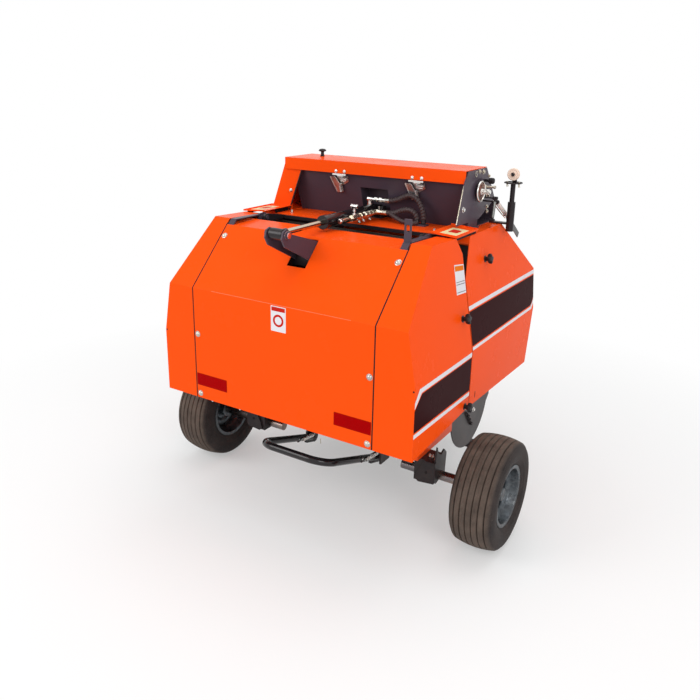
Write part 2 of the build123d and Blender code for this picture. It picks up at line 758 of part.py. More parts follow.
def tyre():
    """Tyre with round shoulders and a gently crowned tread."""
    half = tyre_width / 2
    low = rim_radius + loose
    bead = rim_half - flange_lip - loose
    hip = rim_radius + flange_height
    shoulder = tyre_radius - tread_crown
    tread = half - tread_inset
    outline = [Line((-bead, 0, low), (-bead, 0, hip)),
               ThreePointArc((-bead, 0, hip), (-half, 0, bulge_radius), (-tread, 0, shoulder)),
               ThreePointArc((-tread, 0, shoulder), (0, 0, tyre_radius), (tread, 0, shoulder)),
               ThreePointArc((tread, 0, shoulder), (half, 0, bulge_radius), (bead, 0, hip)),
               Line((bead, 0, hip), (bead, 0, low)),
               Line((bead, 0, low), (-bead, 0, low))]
    return around_wheel(make_face(Wire(outline)))


def rim():
    """Pressed wheel rim: barrel, flanges, deep disc and bearing hub, as one turned section."""
    lip = rim_radius + flange_height
    inner = rim_radius - rim_wall
    bore = spindle_radius + running_fit
    bead = rim_half - flange_lip
    back, front = disc_faces
    hub = [(back, hub_radius), (hub_inner, hub_radius), (hub_inner, bore), (hub_outer, bore),
           (hub_outer, hub_radius), (front, hub_radius)]
    section = [(-rim_half, lip), (-rim_half, inner), (back, inner)] + hub
    section += [(front, inner), (rim_half, inner), (rim_half, lip), (bead, lip), (bead, rim_radius),
                (-bead, rim_radius), (-bead, lip)]
    return around_wheel(make_face(Polyline([(x, 0, r) for x, r in section], close=True)))


both_sides("stub_axle", stub_axle())
both_sides("axle_clamp", axle_clamp())
both_sides("tyre", tyre())
both_sides("rim", rim())

# ---- bale kicker -----------------------------------------------------------------------------
kicker_bend = 70.0
kicker_splay = 8.0        # how much narrower the kicker is at the rear, each side
eye_half = 6.0            # half the thickness of its pivot eyes
eye_round = 22.0
pivot_pin = 8.0
strap_length = 60.0       # flat strap from the pivot eye to the tube


def kicker():
    """U-shaped tube behind the axle, with a flat pivot eye at each end."""
    ends = [(-kicker_half, kicker_pivot_y - 20, kicker_pivot_z + 6),
            (-kicker_half + kicker_splay, kicker_rear_y, kicker_rear_z)]
    route = ends + [(-x, y, z) for x, y, z in ends[::-1]]
    path = FilletPolyline(*route, radius=kicker_bend)
    tube = sweep(Plane(origin=path @ 0, z_dir=path % 0) * Circle(kicker_tube), path=path)
    strap_outline = around(kicker_pivot_y, kicker_pivot_z,
                           [(-strap_length, -4), (-strap_length, 32), (0, eye_round), (0, -eye_round)])
    for side in (-1, 1):
        near, far = span(side, kicker_half - eye_half, kicker_half + eye_half)
        tube += prism_x(strap_outline, near, far)
        tube += rod_x(near, far, kicker_pivot_y, kicker_pivot_z, eye_round)
        tube -= rod_x(near - past, far + past, kicker_pivot_y, kicker_pivot_z, pivot_pin + running_fit)
    return tube


hanger_y = (490.0, 530.0)
hanger_lift = 6.0         # the square tube lies this high above the rails' foot
hanger_size = 40.0
hanger_wall = 4.0
hanger_plate = 8.0


def kicker_hanger():
    """Square tube between the low rails with two plates that hold the kicker's pivots."""
    plate_x = kicker_half + kicker_tube + side_gap
    low = rail_bottom + hanger_lift
    high = low + hanger_size
    reach = chamber_half + past
    rear, front = hanger_y
    tube = block(-chamber_half, chamber_half, rear, front, low, high)
    tube -= block(-reach, reach, rear + hanger_wall, front - hanger_wall, low + hanger_wall,
                  high - hanger_wall)
    tail = kicker_pivot_y - 20
    outline = [(tail, kicker_pivot_z - 20), (rear, kicker_pivot_z - 20), (front, low), (rear, low),
               (rear, low + 24), (rear - 8, low + 24), (tail, kicker_pivot_z + 20)]
    for side in (-1, 1):
        tube += prism_x(outline, *span(side, plate_x, plate_x + hanger_plate))
        pin = span(side, kicker_half - pivot_pin, plate_x)
        tube += rod_x(*pin, kicker_pivot_y, kicker_pivot_z, pivot_pin)
    return tube


save("kicker", kicker())
save("kicker_hanger", kicker_hanger())

# ---- pickup ----------------------------------------------------------------------------------
band_count = 8
band_thick = 2.0
first_band = -(band_count - 1) / 2 * tine_pitch
bar_ring = 92.0           # radius of the ring of tine bars
bar_radius = 9.0
bar_turns = (0, 90, 180, 270)
reel_tube = 20.0
reel_disc = 5.0
disc_margin = 14.0        # the end discs reach this far past the ring of bars
reel_half = chamber_half - 30.0


def tine_places():
    """Gaps between the stripper bands, where the tines run."""
    return [first_band + (index + 0.5) * tine_pitch for index in range(band_count - 1)]


def pickup_reel():
    """Shaft with four tine bars between end discs, and rows of tines through the bands' gaps."""
    reach = chamber_half + plate
    reel = rod_x(-reel_half, reel_half, reel_y, reel_z, reel_tube)
    for side in (-1, 1):
        reel += rod_x(*span(side, reel_half, reach), reel_y, reel_z, roller_shaft)
        reel += rod_x(*span(side, reel_half - reel_disc, reel_half), reel_y, reel_z, bar_ring + disc_margin)
    for turn in bar_turns:
        out = Vector(0, math.cos(math.radians(turn)), math.sin(math.radians(turn)))
        bar = Vector(0, reel_y, reel_z) + out * bar_ring
        reel += rod_x(-reel_half, reel_half, bar.Y, bar.Z, bar_radius)
        for x in tine_places():
            foot = Vector(x, bar.Y, bar.Z)
            reel += rod(tuple(foot), tuple(foot + out * (tine_tip - bar_ring)), tine_radius)
    return reel


cross_bar = 20.0          # square bar that joins the bands behind the tines' circle
band_tail = 60.0          # how far the bands run back under the reel


def pickup_bands():
    """Stripper bands bent round the front of the reel, joined by a bar behind the tines' circle."""
    bar_y = reel_y - tine_tip - side_gap - cross_bar
    tail_y = reel_y - band_tail
    inside = band_radius - band_thick
    top, under_top = reel_z + band_radius, reel_z + inside
    low, over_low = reel_z - band_radius, reel_z - inside
    bands = block(-chamber_half, chamber_half, bar_y, bar_y + cross_bar, under_top - cross_bar, under_top)
    outer = [Line((0, bar_y, top), (0, reel_y, top)),
             ThreePointArc((0, reel_y, top), (0, reel_y + band_radius, reel_z), (0, reel_y, low)),
             Line((0, reel_y, low), (0, tail_y, low)),
             Line((0, tail_y, low), (0, tail_y, over_low)),
             Line((0, tail_y, over_low), (0, reel_y, over_low)),
             ThreePointArc((0, reel_y, over_low), (0, reel_y + inside, reel_z), (0, reel_y, under_top)),
             Line((0, reel_y, under_top), (0, bar_y, under_top)),
             Line((0, bar_y, under_top), (0, bar_y, top))]
    section = make_face(Wire(outer))
    for index in range(band_count):
        x = first_band + index * tine_pitch - band_width / 2
        bands += Pos(x, 0, 0) * extrude(section, amount=band_width, dir=(1, 0, 0))
    return bands


shield_radius = 190.0
shield_y = reel_y + 40.0  # middle of the shield's round lower edge
shield_z = reel_z - 15.0
shield_thick = 4.0
shield_top = 450.0
shield_front = 210.0      # ahead of the reel's shaft
shield_nose = [(1048.0, 365.0), (1048.0, 285.0), (975.0, 215.0)]   # (y, z) of its nose ahead of the pickup's arm


def pickup_plate():
    """Side shield of the pickup on the outside of the chamber plate, round at the bottom."""
    x_from = chamber_half + plate
    x_to = x_from + shield_thick
    rear = shield_y - shield_radius
    front = reel_y + shield_front
    outline = [(rear, shield_z), (rear, shield_top), (front, shield_top), (front, shield_nose[0][1])] + shield_nose
    shield = rod_x(x_from, x_to, shield_y, shield_z, shield_radius) + prism_x(outline, x_from, x_to)
    return shield - rod_x(x_from - past, x_to + past, reel_y, reel_z, roller_shaft + 2)


save("pickup_reel", pickup_reel())
save("pickup_bands", pickup_bands())
shield = pickup_plate()
save("pickup_shields", shield, mirror(shield, about=Plane.YZ))

# ---- twine and net box -----------------------------------------------------------------------
box_brow_z = body_top + box_brow_share * (lid_top - body_top)
rear_fold_z = lid_top - rear_fold_drop
end_plate = 4.0
end_top = lid_top - sheet - loose
knuckle = 50.0            # length of a hinge knuckle of the lid
knuckle_radius = 6.0
knuckle_pin = 3.0
knuckle_room = 9.0        # half the notch in the lid round the box's knuckles
lid_pin_z = lid_top - knuckle_radius
lid_knuckles = (-300.0, -25.0, 250.0)
brow_fold = (lid_front_y + 5, lid_top - 12)   # (y, z) of the front wall's upper edge
pocket_x = (-47.0, 72.0)  # pocket in the rear panel for the cylinder's base and its unions
pocket_front_y = cylinder_base_y + 30.0
pocket_height = 115.0


def base_pocket():
    """Outer and inner block of the pocket round the cylinder's base."""
    left, right = pocket_x
    rear_y = box_rear_y - 24
    top = body_top + pocket_height
    outer = block(left - sheet, right + sheet, rear_y, pocket_front_y + sheet, body_top, top + sheet)
    return outer, block(left, right, rear_y, pocket_front_y, body_top - past, top)


def twine_box():
    """Folded dark sheet: leaning rear panel with its pocket, floor and front, open at the top."""
    line = [brow_fold, (box_front_y, box_brow_z), (box_front_y, body_top), (box_foot_y, body_top),
            (box_rear_y, rear_fold_z), (box_rear_y - 8, lid_top - 8)]
    wall = folded_x(line, sheet, box_left, box_right)
    for x_from in lid_knuckles:
        start = x_from + knuckle + loose
        fixed = rod_x(start, start + knuckle, lid_front_y, lid_pin_z, knuckle_radius)
        fixed += block(start, start + knuckle, lid_front_y - 1, lid_front_y + 5, brow_fold[1] - 4, lid_pin_z)
        wall += fixed + rod_x(x_from, start + past, lid_front_y, lid_pin_z, knuckle_pin)
    outer, inner = base_pocket()
    inside = prism_x([(box_front_y, body_top), (box_foot_y, body_top), (box_rear_y, rear_fold_z),
                      (box_front_y, rear_fold_z)], box_left, box_right)
    return wall + (outer & inside) - inner


post_y = (600.0, 680.0)   # foot of the right-hand end plate
foot_width = 14.0
end_foot_z = body_top + 28.0
end_rear_y = 498.0        # rear tip of the right-hand end plate


def box_end_right():
    """Dark end plate of the box, standing on the top panel."""
    outline = [(box_rear_y - 2, end_top), (lid_front_y - 7, end_top), (box_front_y, box_brow_z),
               (post_y[1] + 12, end_foot_z - 1), (end_rear_y, end_foot_z), (end_rear_y + 42, lid_top - 48)]
    foot = block(box_right, box_right + foot_width, *post_y, body_top, body_top + 3)
    post = block(box_right, box_right + end_plate, *post_y, body_top, end_foot_z)
    return prism_x(outline, box_right, box_right + end_plate) + foot + post


left_foot = 100.0         # how far the left-hand end cover stands out at its foot
left_head = 28.0          # and at its top, under the end of the lid
left_y = (565.0, 800.0)
left_wall = 4.0
left_flange = (45.0, -11.0)   # how far its rear flange reaches inwards at the fold's height and at its foot


def box_end_left():
    """Leaning end cover of the box on the left, closed at its rear and front, with a leaning rear flange."""
    high = end_top - 6
    head = (box_left - left_head, high)
    foot = (box_left - left_foot, body_top)
    shell = prism_y([(box_left, high), (box_left, body_top), foot, head], *left_y)
    hollow = [(box_left + past, high - sheet), (box_left + past, body_top + sheet),
              (box_left - left_foot + left_wall, body_top + sheet), (head[0] + left_wall, high - sheet)]
    shell -= prism_y(hollow, left_y[0] + sheet, left_y[1] - sheet)
    brow = rear_fold_z + 8
    lean = (left_flange[0] - left_flange[1]) / (rear_fold_z - body_top)
    knee = (box_left - past, body_top - (left_flange[1] + past) / lean)
    flange = [(box_left - past, brow), knee, (box_left + left_flange[0], rear_fold_z),
              (box_left + left_flange[0], brow)]
    return shell + prism_y(flange, left_y[0], left_y[0] + sheet)


def box_lid():
    """Lid sheet with its rear flange and the hinge roll along the front edge."""
    line = [(lid_rear_y, rear_fold_z), (lid_rear_y, lid_top), (lid_front_y, lid_top)]
    lid = folded_x(line, sheet, box_left - left_head, box_right - loose)
    for x_from in lid_knuckles:
        end = x_from + knuckle
        lid += rod_x(x_from, end, lid_front_y, lid_pin_z, knuckle_radius)
        lid -= block(end, end + 2 * loose + knuckle, lid_front_y - knuckle_room, lid_front_y + knuckle_room,
                     lid_pin_z - knuckle_room, lid_top + past)
    for x_from in lid_knuckles:
        bore = (x_from - past, x_from + knuckle + past)
        lid -= rod_x(*bore, lid_front_y, lid_pin_z, knuckle_pin + running_fit)
    return lid


lid_knob_place = (-280.0, 680.0)   # (x, y)
lid_knob_height = 30.0
lid_knob_cap = 11.0


def lid_knob():
    """Mushroom knob on the lid."""
    neck_z = lid_top + lid_knob_height - lid_knob_cap
    stem = rod((*lid_knob_place, lid_top), (*lid_knob_place, neck_z), knob_stem)
    return stem + rod((*lid_knob_place, neck_z), (*lid_knob_place, lid_top + lid_knob_height), knob_head)


brake_centre = (665.0, lid_top - 79.0)
brake_radius = 38.0
brake_boss = 9.0
brake_gap = 8.0           # from the end plate to the wheel
brake_thick = 12.0
link_x = box_right + 55.0   # plane of the two links of the net brake
brake_links = (((724.0, lid_top - 120), (835.0, body_top + 29), 8.0),
               ((708.0, lid_top - 105), (694.0, body_top + 27), 6.0))   # (start, end, radius)


def net_brake():
    """Brake wheel of the net roll on the right-hand end plate, with its two links, each held by a pin."""
    face = box_right + end_plate
    wheel_x = face + brake_gap
    wheel = rod_x(face, wheel_x, *brake_centre, brake_boss)
    wheel += rod_x(wheel_x, wheel_x + brake_thick, *brake_centre, brake_radius)
    for start, end, radius in brake_links:
        foot = Vector(link_x, *start)
        run = (Vector(link_x, *end) - foot).normalized()
        wheel += rod(tuple(foot - run * 2 * radius), (link_x, *end), radius)
        wheel += rod_x(face, link_x, *start, radius - 2)
    return wheel


post_x = box_right + 85.0   # guide post beside the box
post_middle_y = 800.0
post_low = body_top - 25.0
sleeve_top = body_top + 83.0
sleeve_radius = 14.0
post_top = body_top + 153.0
post_radius = 9.0
arm_half = 12.0
arm_thick = 6.0
fork_half = 30.0
fork_plate = 5.0
fork_depth = 14.0
fork_seat = 2.0           # how far the fork's plate reaches down over the post
fork_top = post_top - fork_seat + fork_plate
pulley_pin = 4.0
pulley_rims = (-12.0, -10.0, -2.0, 0.0)      # rim, groove and rim along Y, from the post's middle
pulley_radius = 22.0
groove_radius = 18.0
pulley_room = 6.0         # from the fork's plate to the pulley's rim
pulley_z = fork_top + pulley_room + pulley_radius


def twine_post():
    """Guide post on a foot arm beside the box, with the fork of the guide pulley."""
    x = post_x
    y = post_middle_y
    post = rod((x, y, post_low), (x, y, sleeve_top), sleeve_radius)
    post += rod((x, y, sleeve_top), (x, y, post_top), post_radius)
    arm_from = box_right + end_plate + 3
    post += block(arm_from, x, y - arm_half, y + arm_half, body_top, body_top + arm_thick)
    fork_y = (y + fork_depth - fork_plate, y + fork_depth)
    post += block(x - fork_half, x + fork_half, y - fork_depth, y + fork_depth, post_top - fork_seat, fork_top)
    post += block(x - 8, x + 8, *fork_y, fork_top, pulley_z + pulley_pin)
    return post + rod_y(y - fork_depth, fork_y[1] - 2, x, pulley_z, pulley_pin)


def guide_pulley():
    """Small grooved pulley on the post."""
    rear, groove_rear, groove_front, front = (post_middle_y + offset for offset in pulley_rims)
    pulley = rod_y(rear, groove_rear, post_x, pulley_z, pulley_radius)
    pulley += rod_y(groove_rear, groove_front, post_x, pulley_z, groove_radius)
    pulley += rod_y(groove_front, front, post_x, pulley_z, pulley_radius)
    return pulley - rod_y(rear - past, front + past, post_x, pulley_z, pulley_pin + running_fit)


save("twine_box", twine_box())
save("box_end_right", box_end_right())
save("box_end_left", box_end_left())
save("box_lid", box_lid())
save("lid_knob", lid_knob())
save("net_brake", net_brake())
save("twine_post", twine_post())
save("guide_pulley", guide_pulley())

# ---- hitch, drive and stands -----------------------------------------------------------------
beam_front_y = hitch_y + 5.0
beam_rear_y = beam_front_y - beam_size
beam_low = hitch_z - beam_size / 2
top_link_z = hitch_z + mast_height
beam_high = hitch_z + beam_size / 2
arm_inner = chamber_half - 25.0
arm_rear_y = 960.0
link_arm_front = 28.0
pin_length = 60.0
mast_foot = (115.0, 150.0)    # (inner, outer) X of the mast's legs on the beam
mast_tip = (32.0, 46.0)
mast_half = 22.0
mast_neck = 50.0              # from the top link pin down to where the legs turn upright
mast_end = 40.0
brace_rear_y = 1060.0
brace_front_y = 1100.0
gear_half = 70.0
gear_y = (970.0, 1088.0)
gear_z = (520.0, 660.0)
gear_foot = (60.0, 1030.0, 40.0)   # half width, rear face and overlap on the beam
cross_shaft_y = 995.0
cross_tube = 24.0
bearing_depth = 40.0
sleeve_wall = 4.0
sleeve_z = (370.0, 480.0)
sleeve_hole = stand_tube / 2 + loose
sleeve_outer = sleeve_hole + sleeve_wall
sleeve_y = beam_rear_y - sleeve_outer


def hitch_frame():
    """Cross beam with side arms to the chamber plates, link pins, mast and stand sleeves."""
    frame = block(-arm_inner, arm_inner, beam_rear_y, beam_front_y, beam_low, beam_high)
    neck_z = top_link_z - mast_neck
    high = top_link_z + mast_end
    for side in (-1, 1):
        arm = span(side, chamber_half - 50, chamber_half)
        frame += block(*arm, arm_rear_y, beam_rear_y + 10, beam_low, beam_high)
        cheek = span(side, arm_inner, link_shoulder)
        frame += block(*cheek, beam_rear_y, hitch_y + link_arm_front, beam_low - 5, beam_high + 5)
        frame += rod_x(*span(side, link_shoulder, link_shoulder + pin_length), hitch_y, hitch_z, lower_pin)
        leg = [(side * mast_foot[1], beam_high), (side * mast_tip[1], neck_z), (side * mast_tip[1], high),
               (side * mast_tip[0], high), (side * mast_tip[0], neck_z), (side * mast_foot[0], beam_high)]
        frame += prism_y(leg, hitch_y - mast_half, hitch_y + mast_half)
        brace = [(brace_rear_y, brow_z(brace_rear_y)), (brace_front_y, brow_z(brace_front_y)),
                 (hitch_y - mast_half, top_link_z - 40), (hitch_y - mast_half, top_link_z)]
        frame += prism_x(brace, *span(side, *mast_tip))
        sleeve = (side * stand_x - sleeve_outer, side * stand_x + sleeve_outer)
        frame += block(*sleeve, sleeve_y - sleeve_outer, beam_rear_y, *sleeve_z)
        frame -= block(sleeve[0] + sleeve_wall, sleeve[1] - sleeve_wall, sleeve_y - sleeve_hole,
                       sleeve_y + sleeve_hole, sleeve_z[0] - past, sleeve_z[1] + past)
    return frame - rod_x(-mast_tip[1] - past, mast_tip[1] + past, hitch_y, top_link_z, top_pin_hole)


def gearbox():
    """Bevel gearbox on the hitch beam, with the cross shaft's tube to the left-hand chain case."""
    foot_half, foot_rear_y, foot_overlap = gear_foot
    case = block(-gear_half, gear_half, *gear_y, *gear_z)
    case += block(-foot_half, foot_half, foot_rear_y, beam_rear_y + foot_overlap, beam_high, gear_z[0])
    case += rod_x(-chamber_half, -gear_half, cross_shaft_y, shaft_z, cross_tube)
    bearing = (gear_y[1] - bearing_depth, gear_y[1] + past)
    return case - rod_y(*bearing, 0, shaft_z, shoulder_radius + running_fit)


def input_shaft():
    """Splined stub shaft for the tractor's drive shaft, plain where it runs in the gearbox."""
    shoulder_y = gear_y[1] + shoulder_length
    plain = rod_y(gear_y[1] - bearing_depth + past, shoulder_y, 0, shaft_z, shoulder_radius)
    spline = Circle(shaft_radius) - PolarLocations(shaft_radius, 6) * Rectangle(8, 4)
    tip = extrude(spline, amount=shaft_tip_y - shoulder_y)
    return plain + Plane(origin=(0, shoulder_y, shaft_z), x_dir=(1, 0, 0), z_dir=(0, 1, 0)) * tip


bell_radius = 62.0
bell_wall = 3.0
bell_floor = 4.0
bell_front_y = 1190.0


def shaft_guard():
    """Plastic bell round the input shaft."""
    bell = rod_y(gear_y[1], bell_front_y, 0, shaft_z, bell_radius)
    bell -= rod_y(gear_y[1] + bell_floor, bell_front_y + past, 0, shaft_z, bell_radius - bell_wall)
    return bell - rod_y(gear_y[1] - past, bell_front_y, 0, shaft_z, shoulder_radius + side_gap)


stand_top = 500.0
foot_half = (45.0, 40.0)
foot_thick = 6.0


def parking_stand():
    """Square leg in its sleeve, with a foot plate on the ground."""
    half = stand_tube / 2
    leg = block(stand_x - half, stand_x + half, sleeve_y - half, sleeve_y + half, foot_thick, stand_top)
    return leg + block(stand_x - foot_half[0], stand_x + foot_half[0], sleeve_y - foot_half[1],
                       sleeve_y + foot_half[1], 0, foot_thick)


save("hitch_frame", hitch_frame())
save("gearbox", gearbox())
save("input_shaft", input_shaft())
save("shaft_guard", shaft_guard())
both_sides("parking_stand", parking_stand())
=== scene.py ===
import math

import bmesh
import bpy
import numpy as np
from mathutils import Matrix, Vector


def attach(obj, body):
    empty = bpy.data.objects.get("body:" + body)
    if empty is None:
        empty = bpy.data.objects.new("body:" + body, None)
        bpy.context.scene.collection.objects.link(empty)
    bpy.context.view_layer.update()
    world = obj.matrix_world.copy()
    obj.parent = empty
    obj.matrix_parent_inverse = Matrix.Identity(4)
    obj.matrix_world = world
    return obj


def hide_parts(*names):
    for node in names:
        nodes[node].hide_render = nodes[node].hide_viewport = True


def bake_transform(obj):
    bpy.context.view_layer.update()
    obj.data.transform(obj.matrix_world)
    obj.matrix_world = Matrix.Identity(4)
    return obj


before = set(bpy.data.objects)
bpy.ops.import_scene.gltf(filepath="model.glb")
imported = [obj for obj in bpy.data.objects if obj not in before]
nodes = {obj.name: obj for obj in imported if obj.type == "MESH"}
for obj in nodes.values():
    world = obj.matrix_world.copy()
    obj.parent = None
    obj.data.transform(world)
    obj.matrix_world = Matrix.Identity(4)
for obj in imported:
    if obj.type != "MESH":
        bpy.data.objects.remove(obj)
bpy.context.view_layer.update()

# Places and lengths of the pieces are in millimetres, +Z up, laid out along Y from the tailgate's
# rear face; placed() takes them into the frame, which is in metres. Cameras, lamps and shaders are
# in metres. A side is +1 on the machine's right and -1 on its left.
MM = 0.001
ORIGIN_Y = 597.5
SIDE_X = 516.5        # widest plane of the side covers
FOLD_Z = 702          # above this fold the side covers lean inwards
LEAN = 0.18           # inward lean for each length of height
SLOPE_FOOT = 883      # foot of the tailgate's leaning rear face
SLOPE_RISE = 1.0174
CYLINDER_Z = 1117     # the lift cylinder's axis
WHEEL = (631, 411, 203)
MACHINE = "machine"
TAILGATE = "tailgate"
BARREL = "cylinder_barrel_body"
UP, RIGHT, FORWARD, BACK = (0, 0, 1), (1, 0, 0), (0, 1, 0), (0, -1, 0)
SHARP = 35.0          # edges that turn by more degrees than this stay sharp

scene = bpy.context.scene
scene.view_settings.view_transform = "Standard"


# ---- camera ----
def aim_camera():
    """The camera stands behind the machine's right-hand corner, above its lid, and looks forwards and down."""
    yaw, pitch, roll = math.radians(32.847), math.radians(18.184), math.radians(0.789)
    ahead = Vector((-math.sin(yaw) * math.cos(pitch), math.cos(yaw) * math.cos(pitch), -math.sin(pitch)))
    level = Vector((math.cos(yaw), math.sin(yaw), 0))
    above = level.cross(ahead)
    right = math.cos(roll) * level + math.sin(roll) * above
    up = math.cos(roll) * above - math.sin(roll) * level
    data = bpy.data.cameras.new("camera")
    data.sensor_width = 36
    data.lens = 37.876
    data.shift_x = 0.02536
    data.shift_y = -0.03751
    data.clip_end = 60
    camera = bpy.data.objects.new("camera", data)
    scene.collection.objects.link(camera)
    turn = Matrix((right, up, -ahead)).transposed().to_4x4()
    camera.matrix_world = Matrix.Translation((1.405, -2.4375, 1.580)) @ turn
    scene.camera = camera


aim_camera()


# ---- surfaces ----
def placed(points):
    """Drawing places in millimetres as places in the frame, in metres."""
    return (np.asarray(points, float) - (0, ORIGIN_Y, 0)) * MM


def unit(direction):
    direction = np.asarray(direction, float)
    return direction / np.linalg.norm(direction, axis=-1, keepdims=True)


def axes_of(along, hint=UP):
    """Right-handed unit directions (side, lift, along), where lift is the part of hint square to along."""
    along = unit(along)
    hint = unit(hint)
    if abs(along @ hint) > 0.98:
        hint = np.array(RIGHT, float)
    side = unit(np.cross(hint, along))
    return side, np.cross(along, side), along


def circle(side, lift, steps):
    """Directions cos t side + sin t lift, for t in equal steps: a ring for each pair of side and lift."""
    t = np.arange(steps)[:, None] * 2 * np.pi / steps
    return np.cos(t) * side[..., None, :] + np.sin(t) * lift[..., None, :]


def grid(points, wrap_u=False, wrap_v=False):
    """Shell over an array of points (u, v, 3): a four-sided face between each point and its next neighbours."""
    rows, columns = points.shape[:2]
    ids = np.arange(rows * columns).reshape(rows, columns)
    if wrap_u:
        ids = np.vstack([ids, ids[:1]])
    if wrap_v:
        ids = np.hstack([ids, ids[:, :1]])
    faces = np.stack([ids[:-1, :-1], ids[1:, :-1], ids[1:, 1:], ids[:-1, 1:]], axis=-1)
    return points.reshape(-1, 3), faces.reshape(-1, 4).tolist()


def closed(points, loop=False):
    """Closed shell from rings of points (ring, corner, 3): a loop of rings, or flat faces on the end rings."""
    if loop:
        return grid(points, wrap_u=True, wrap_v=True)
    rows, columns = points.shape[:2]
    flat, faces = grid(points, wrap_v=True)
    last = (rows - 1) * columns
    return flat, faces + [list(range(columns)), list(range(last, last + columns))]


def turned(profile, origin, along, steps=32, hint=UP, loop=False):
    """Surface of revolution: row (s, r) is the ring origin + s along + r (cos t side + sin t lift)."""
    side, lift, along = axes_of(along, hint)
    profile = np.asarray(profile, float)[:, :, None, None]
    return closed(np.asarray(origin) + profile[:, 0] * along + profile[:, 1] * circle(side, lift, steps), loop)


def plate(outline, origin, u, v, depth):
    """Flat plate: outline point (a, b) goes to origin + a u + b v, and again depth further along u x v."""
    u, v = unit(u), unit(v)
    outline = np.asarray(outline, float)
    base = np.asarray(origin) + outline[:, :1] * u + outline[:, 1:] * v
    return closed(np.stack([base, base + depth * np.cross(u, v)]))


def rounded(outline, radius, steps=4):
    """Outline with each corner P replaced by the curve (1-t)^2 A + 2t(1-t) P + t^2 B between points on its edges."""
    corner = np.asarray(outline, float)
    back = corner + radius * unit(np.roll(corner, 1, axis=0) - corner)
    on = corner + radius * unit(np.roll(corner, -1, axis=0) - corner)
    t = np.linspace(0, 1, steps + 1)[None, :, None]
    curve = (1 - t) ** 2 * back[:, None] + 2 * t * (1 - t) * corner[:, None] + t ** 2 * on[:, None]
    return curve.reshape(-1, 2)


def box_outline(x_from, x_to, y_from, y_to):
    return [(x_from, y_from), (x_to, y_from), (x_to, y_to), (x_from, y_to)]


def oblong(length, width, radius=0):
    """Centred rectangle, with rounded corners when a radius is given."""
    outline = box_outline(-length / 2, length / 2, -width / 2, width / 2)
    return rounded(outline, radius) if radius else outline


def tube(path, radius, sides=12, hint=UP, loop=False):
    """Round bar: each point of the path carries a ring, radius (cos t side + sin t lift), square to the path.

    radius is one number, one for each point, or one for each point of each ring.
    """
    path = np.asarray(path, float)
    run = np.roll(path, -1, axis=0) - np.roll(path, 1, axis=0)
    if not loop:
        run[0], run[-1] = path[1] - path[0], path[-1] - path[-2]
    run = unit(run)
    side = unit(np.cross(np.asarray(hint, float), run))
    size = np.asarray(radius, float)
    if size.ndim < 2:
        size = np.broadcast_to(size, len(path))[:, None]
    return closed(path[:, None] + size[..., None] * circle(side, np.cross(run, side), sides), loop)


def coil_path(start, end, radius, turns, per_turn):
    """Points start + t (end - start) + radius (cos a side + sin a lift), with a = 2 pi turns t."""
    start, end = np.asarray(start, float), np.asarray(end, float)
    side, lift, _ = axes_of(end - start)
    t = np.linspace(0, 1, int(turns * per_turn) + 1)[:, None]
    a = 2 * np.pi * turns * t
    return start + t * (end - start) + radius * (np.cos(a) * side + np.sin(a) * lift)


def joined(shells):
    """All shells as one list of points and faces."""
    points, faces, start = [], [], 0
    for corner, face in shells:
        points.append(corner)
        faces += [[start + index for index in row] for row in face]
        start += len(corner)
    return np.concatenate(points), faces


def mirrored(shells):
    """The same shells on the other side of the machine, x to -x."""
    return [(corner * (-1, 1, 1), face) for corner, face in shells]


def both(shells):
    return shells + mirrored(shells)


def build(name, shells, finish, body=MACHINE, bevel=0, smooth=SHARP, slot=None, replaces=()):
    """One piece from its shells: shared points merged, faces turned outwards, sharp edges kept over an angle.

    The slot argument is not used: a slot is worked out from it and the finish, but not stored on the piece.
    """
    points, faces = joined(shells)
    mesh = bpy.data.meshes.new(name)
    mesh.from_pydata(placed(points).tolist(), [], faces)
    work = bmesh.new()
    work.from_mesh(mesh)
    bmesh.ops.remove_doubles(work, verts=work.verts, dist=1e-6)
    bmesh.ops.recalc_face_normals(work, faces=work.faces)
    work.to_mesh(mesh)
    work.free()
    mesh.materials.append(finish)
    mesh.shade_smooth()
    mesh.set_sharp_from_angle(angle=math.radians(smooth))
    piece = bpy.data.objects.new(name, mesh)
    scene.collection.objects.link(piece)
    if bevel:
        rounding = piece.modifiers.new("rounding", "BEVEL")
        rounding.width = bevel * MM
        rounding.segments = 2
        rounding.limit_method = "ANGLE"
        rounding.harden_normals = True
    if isinstance(body, str):
        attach(piece, body)
    else:
        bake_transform(piece)
    slot = slot_of.get(finish.name) if slot is None else slot
    if replaces:
        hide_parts(*replaces)
    return piece


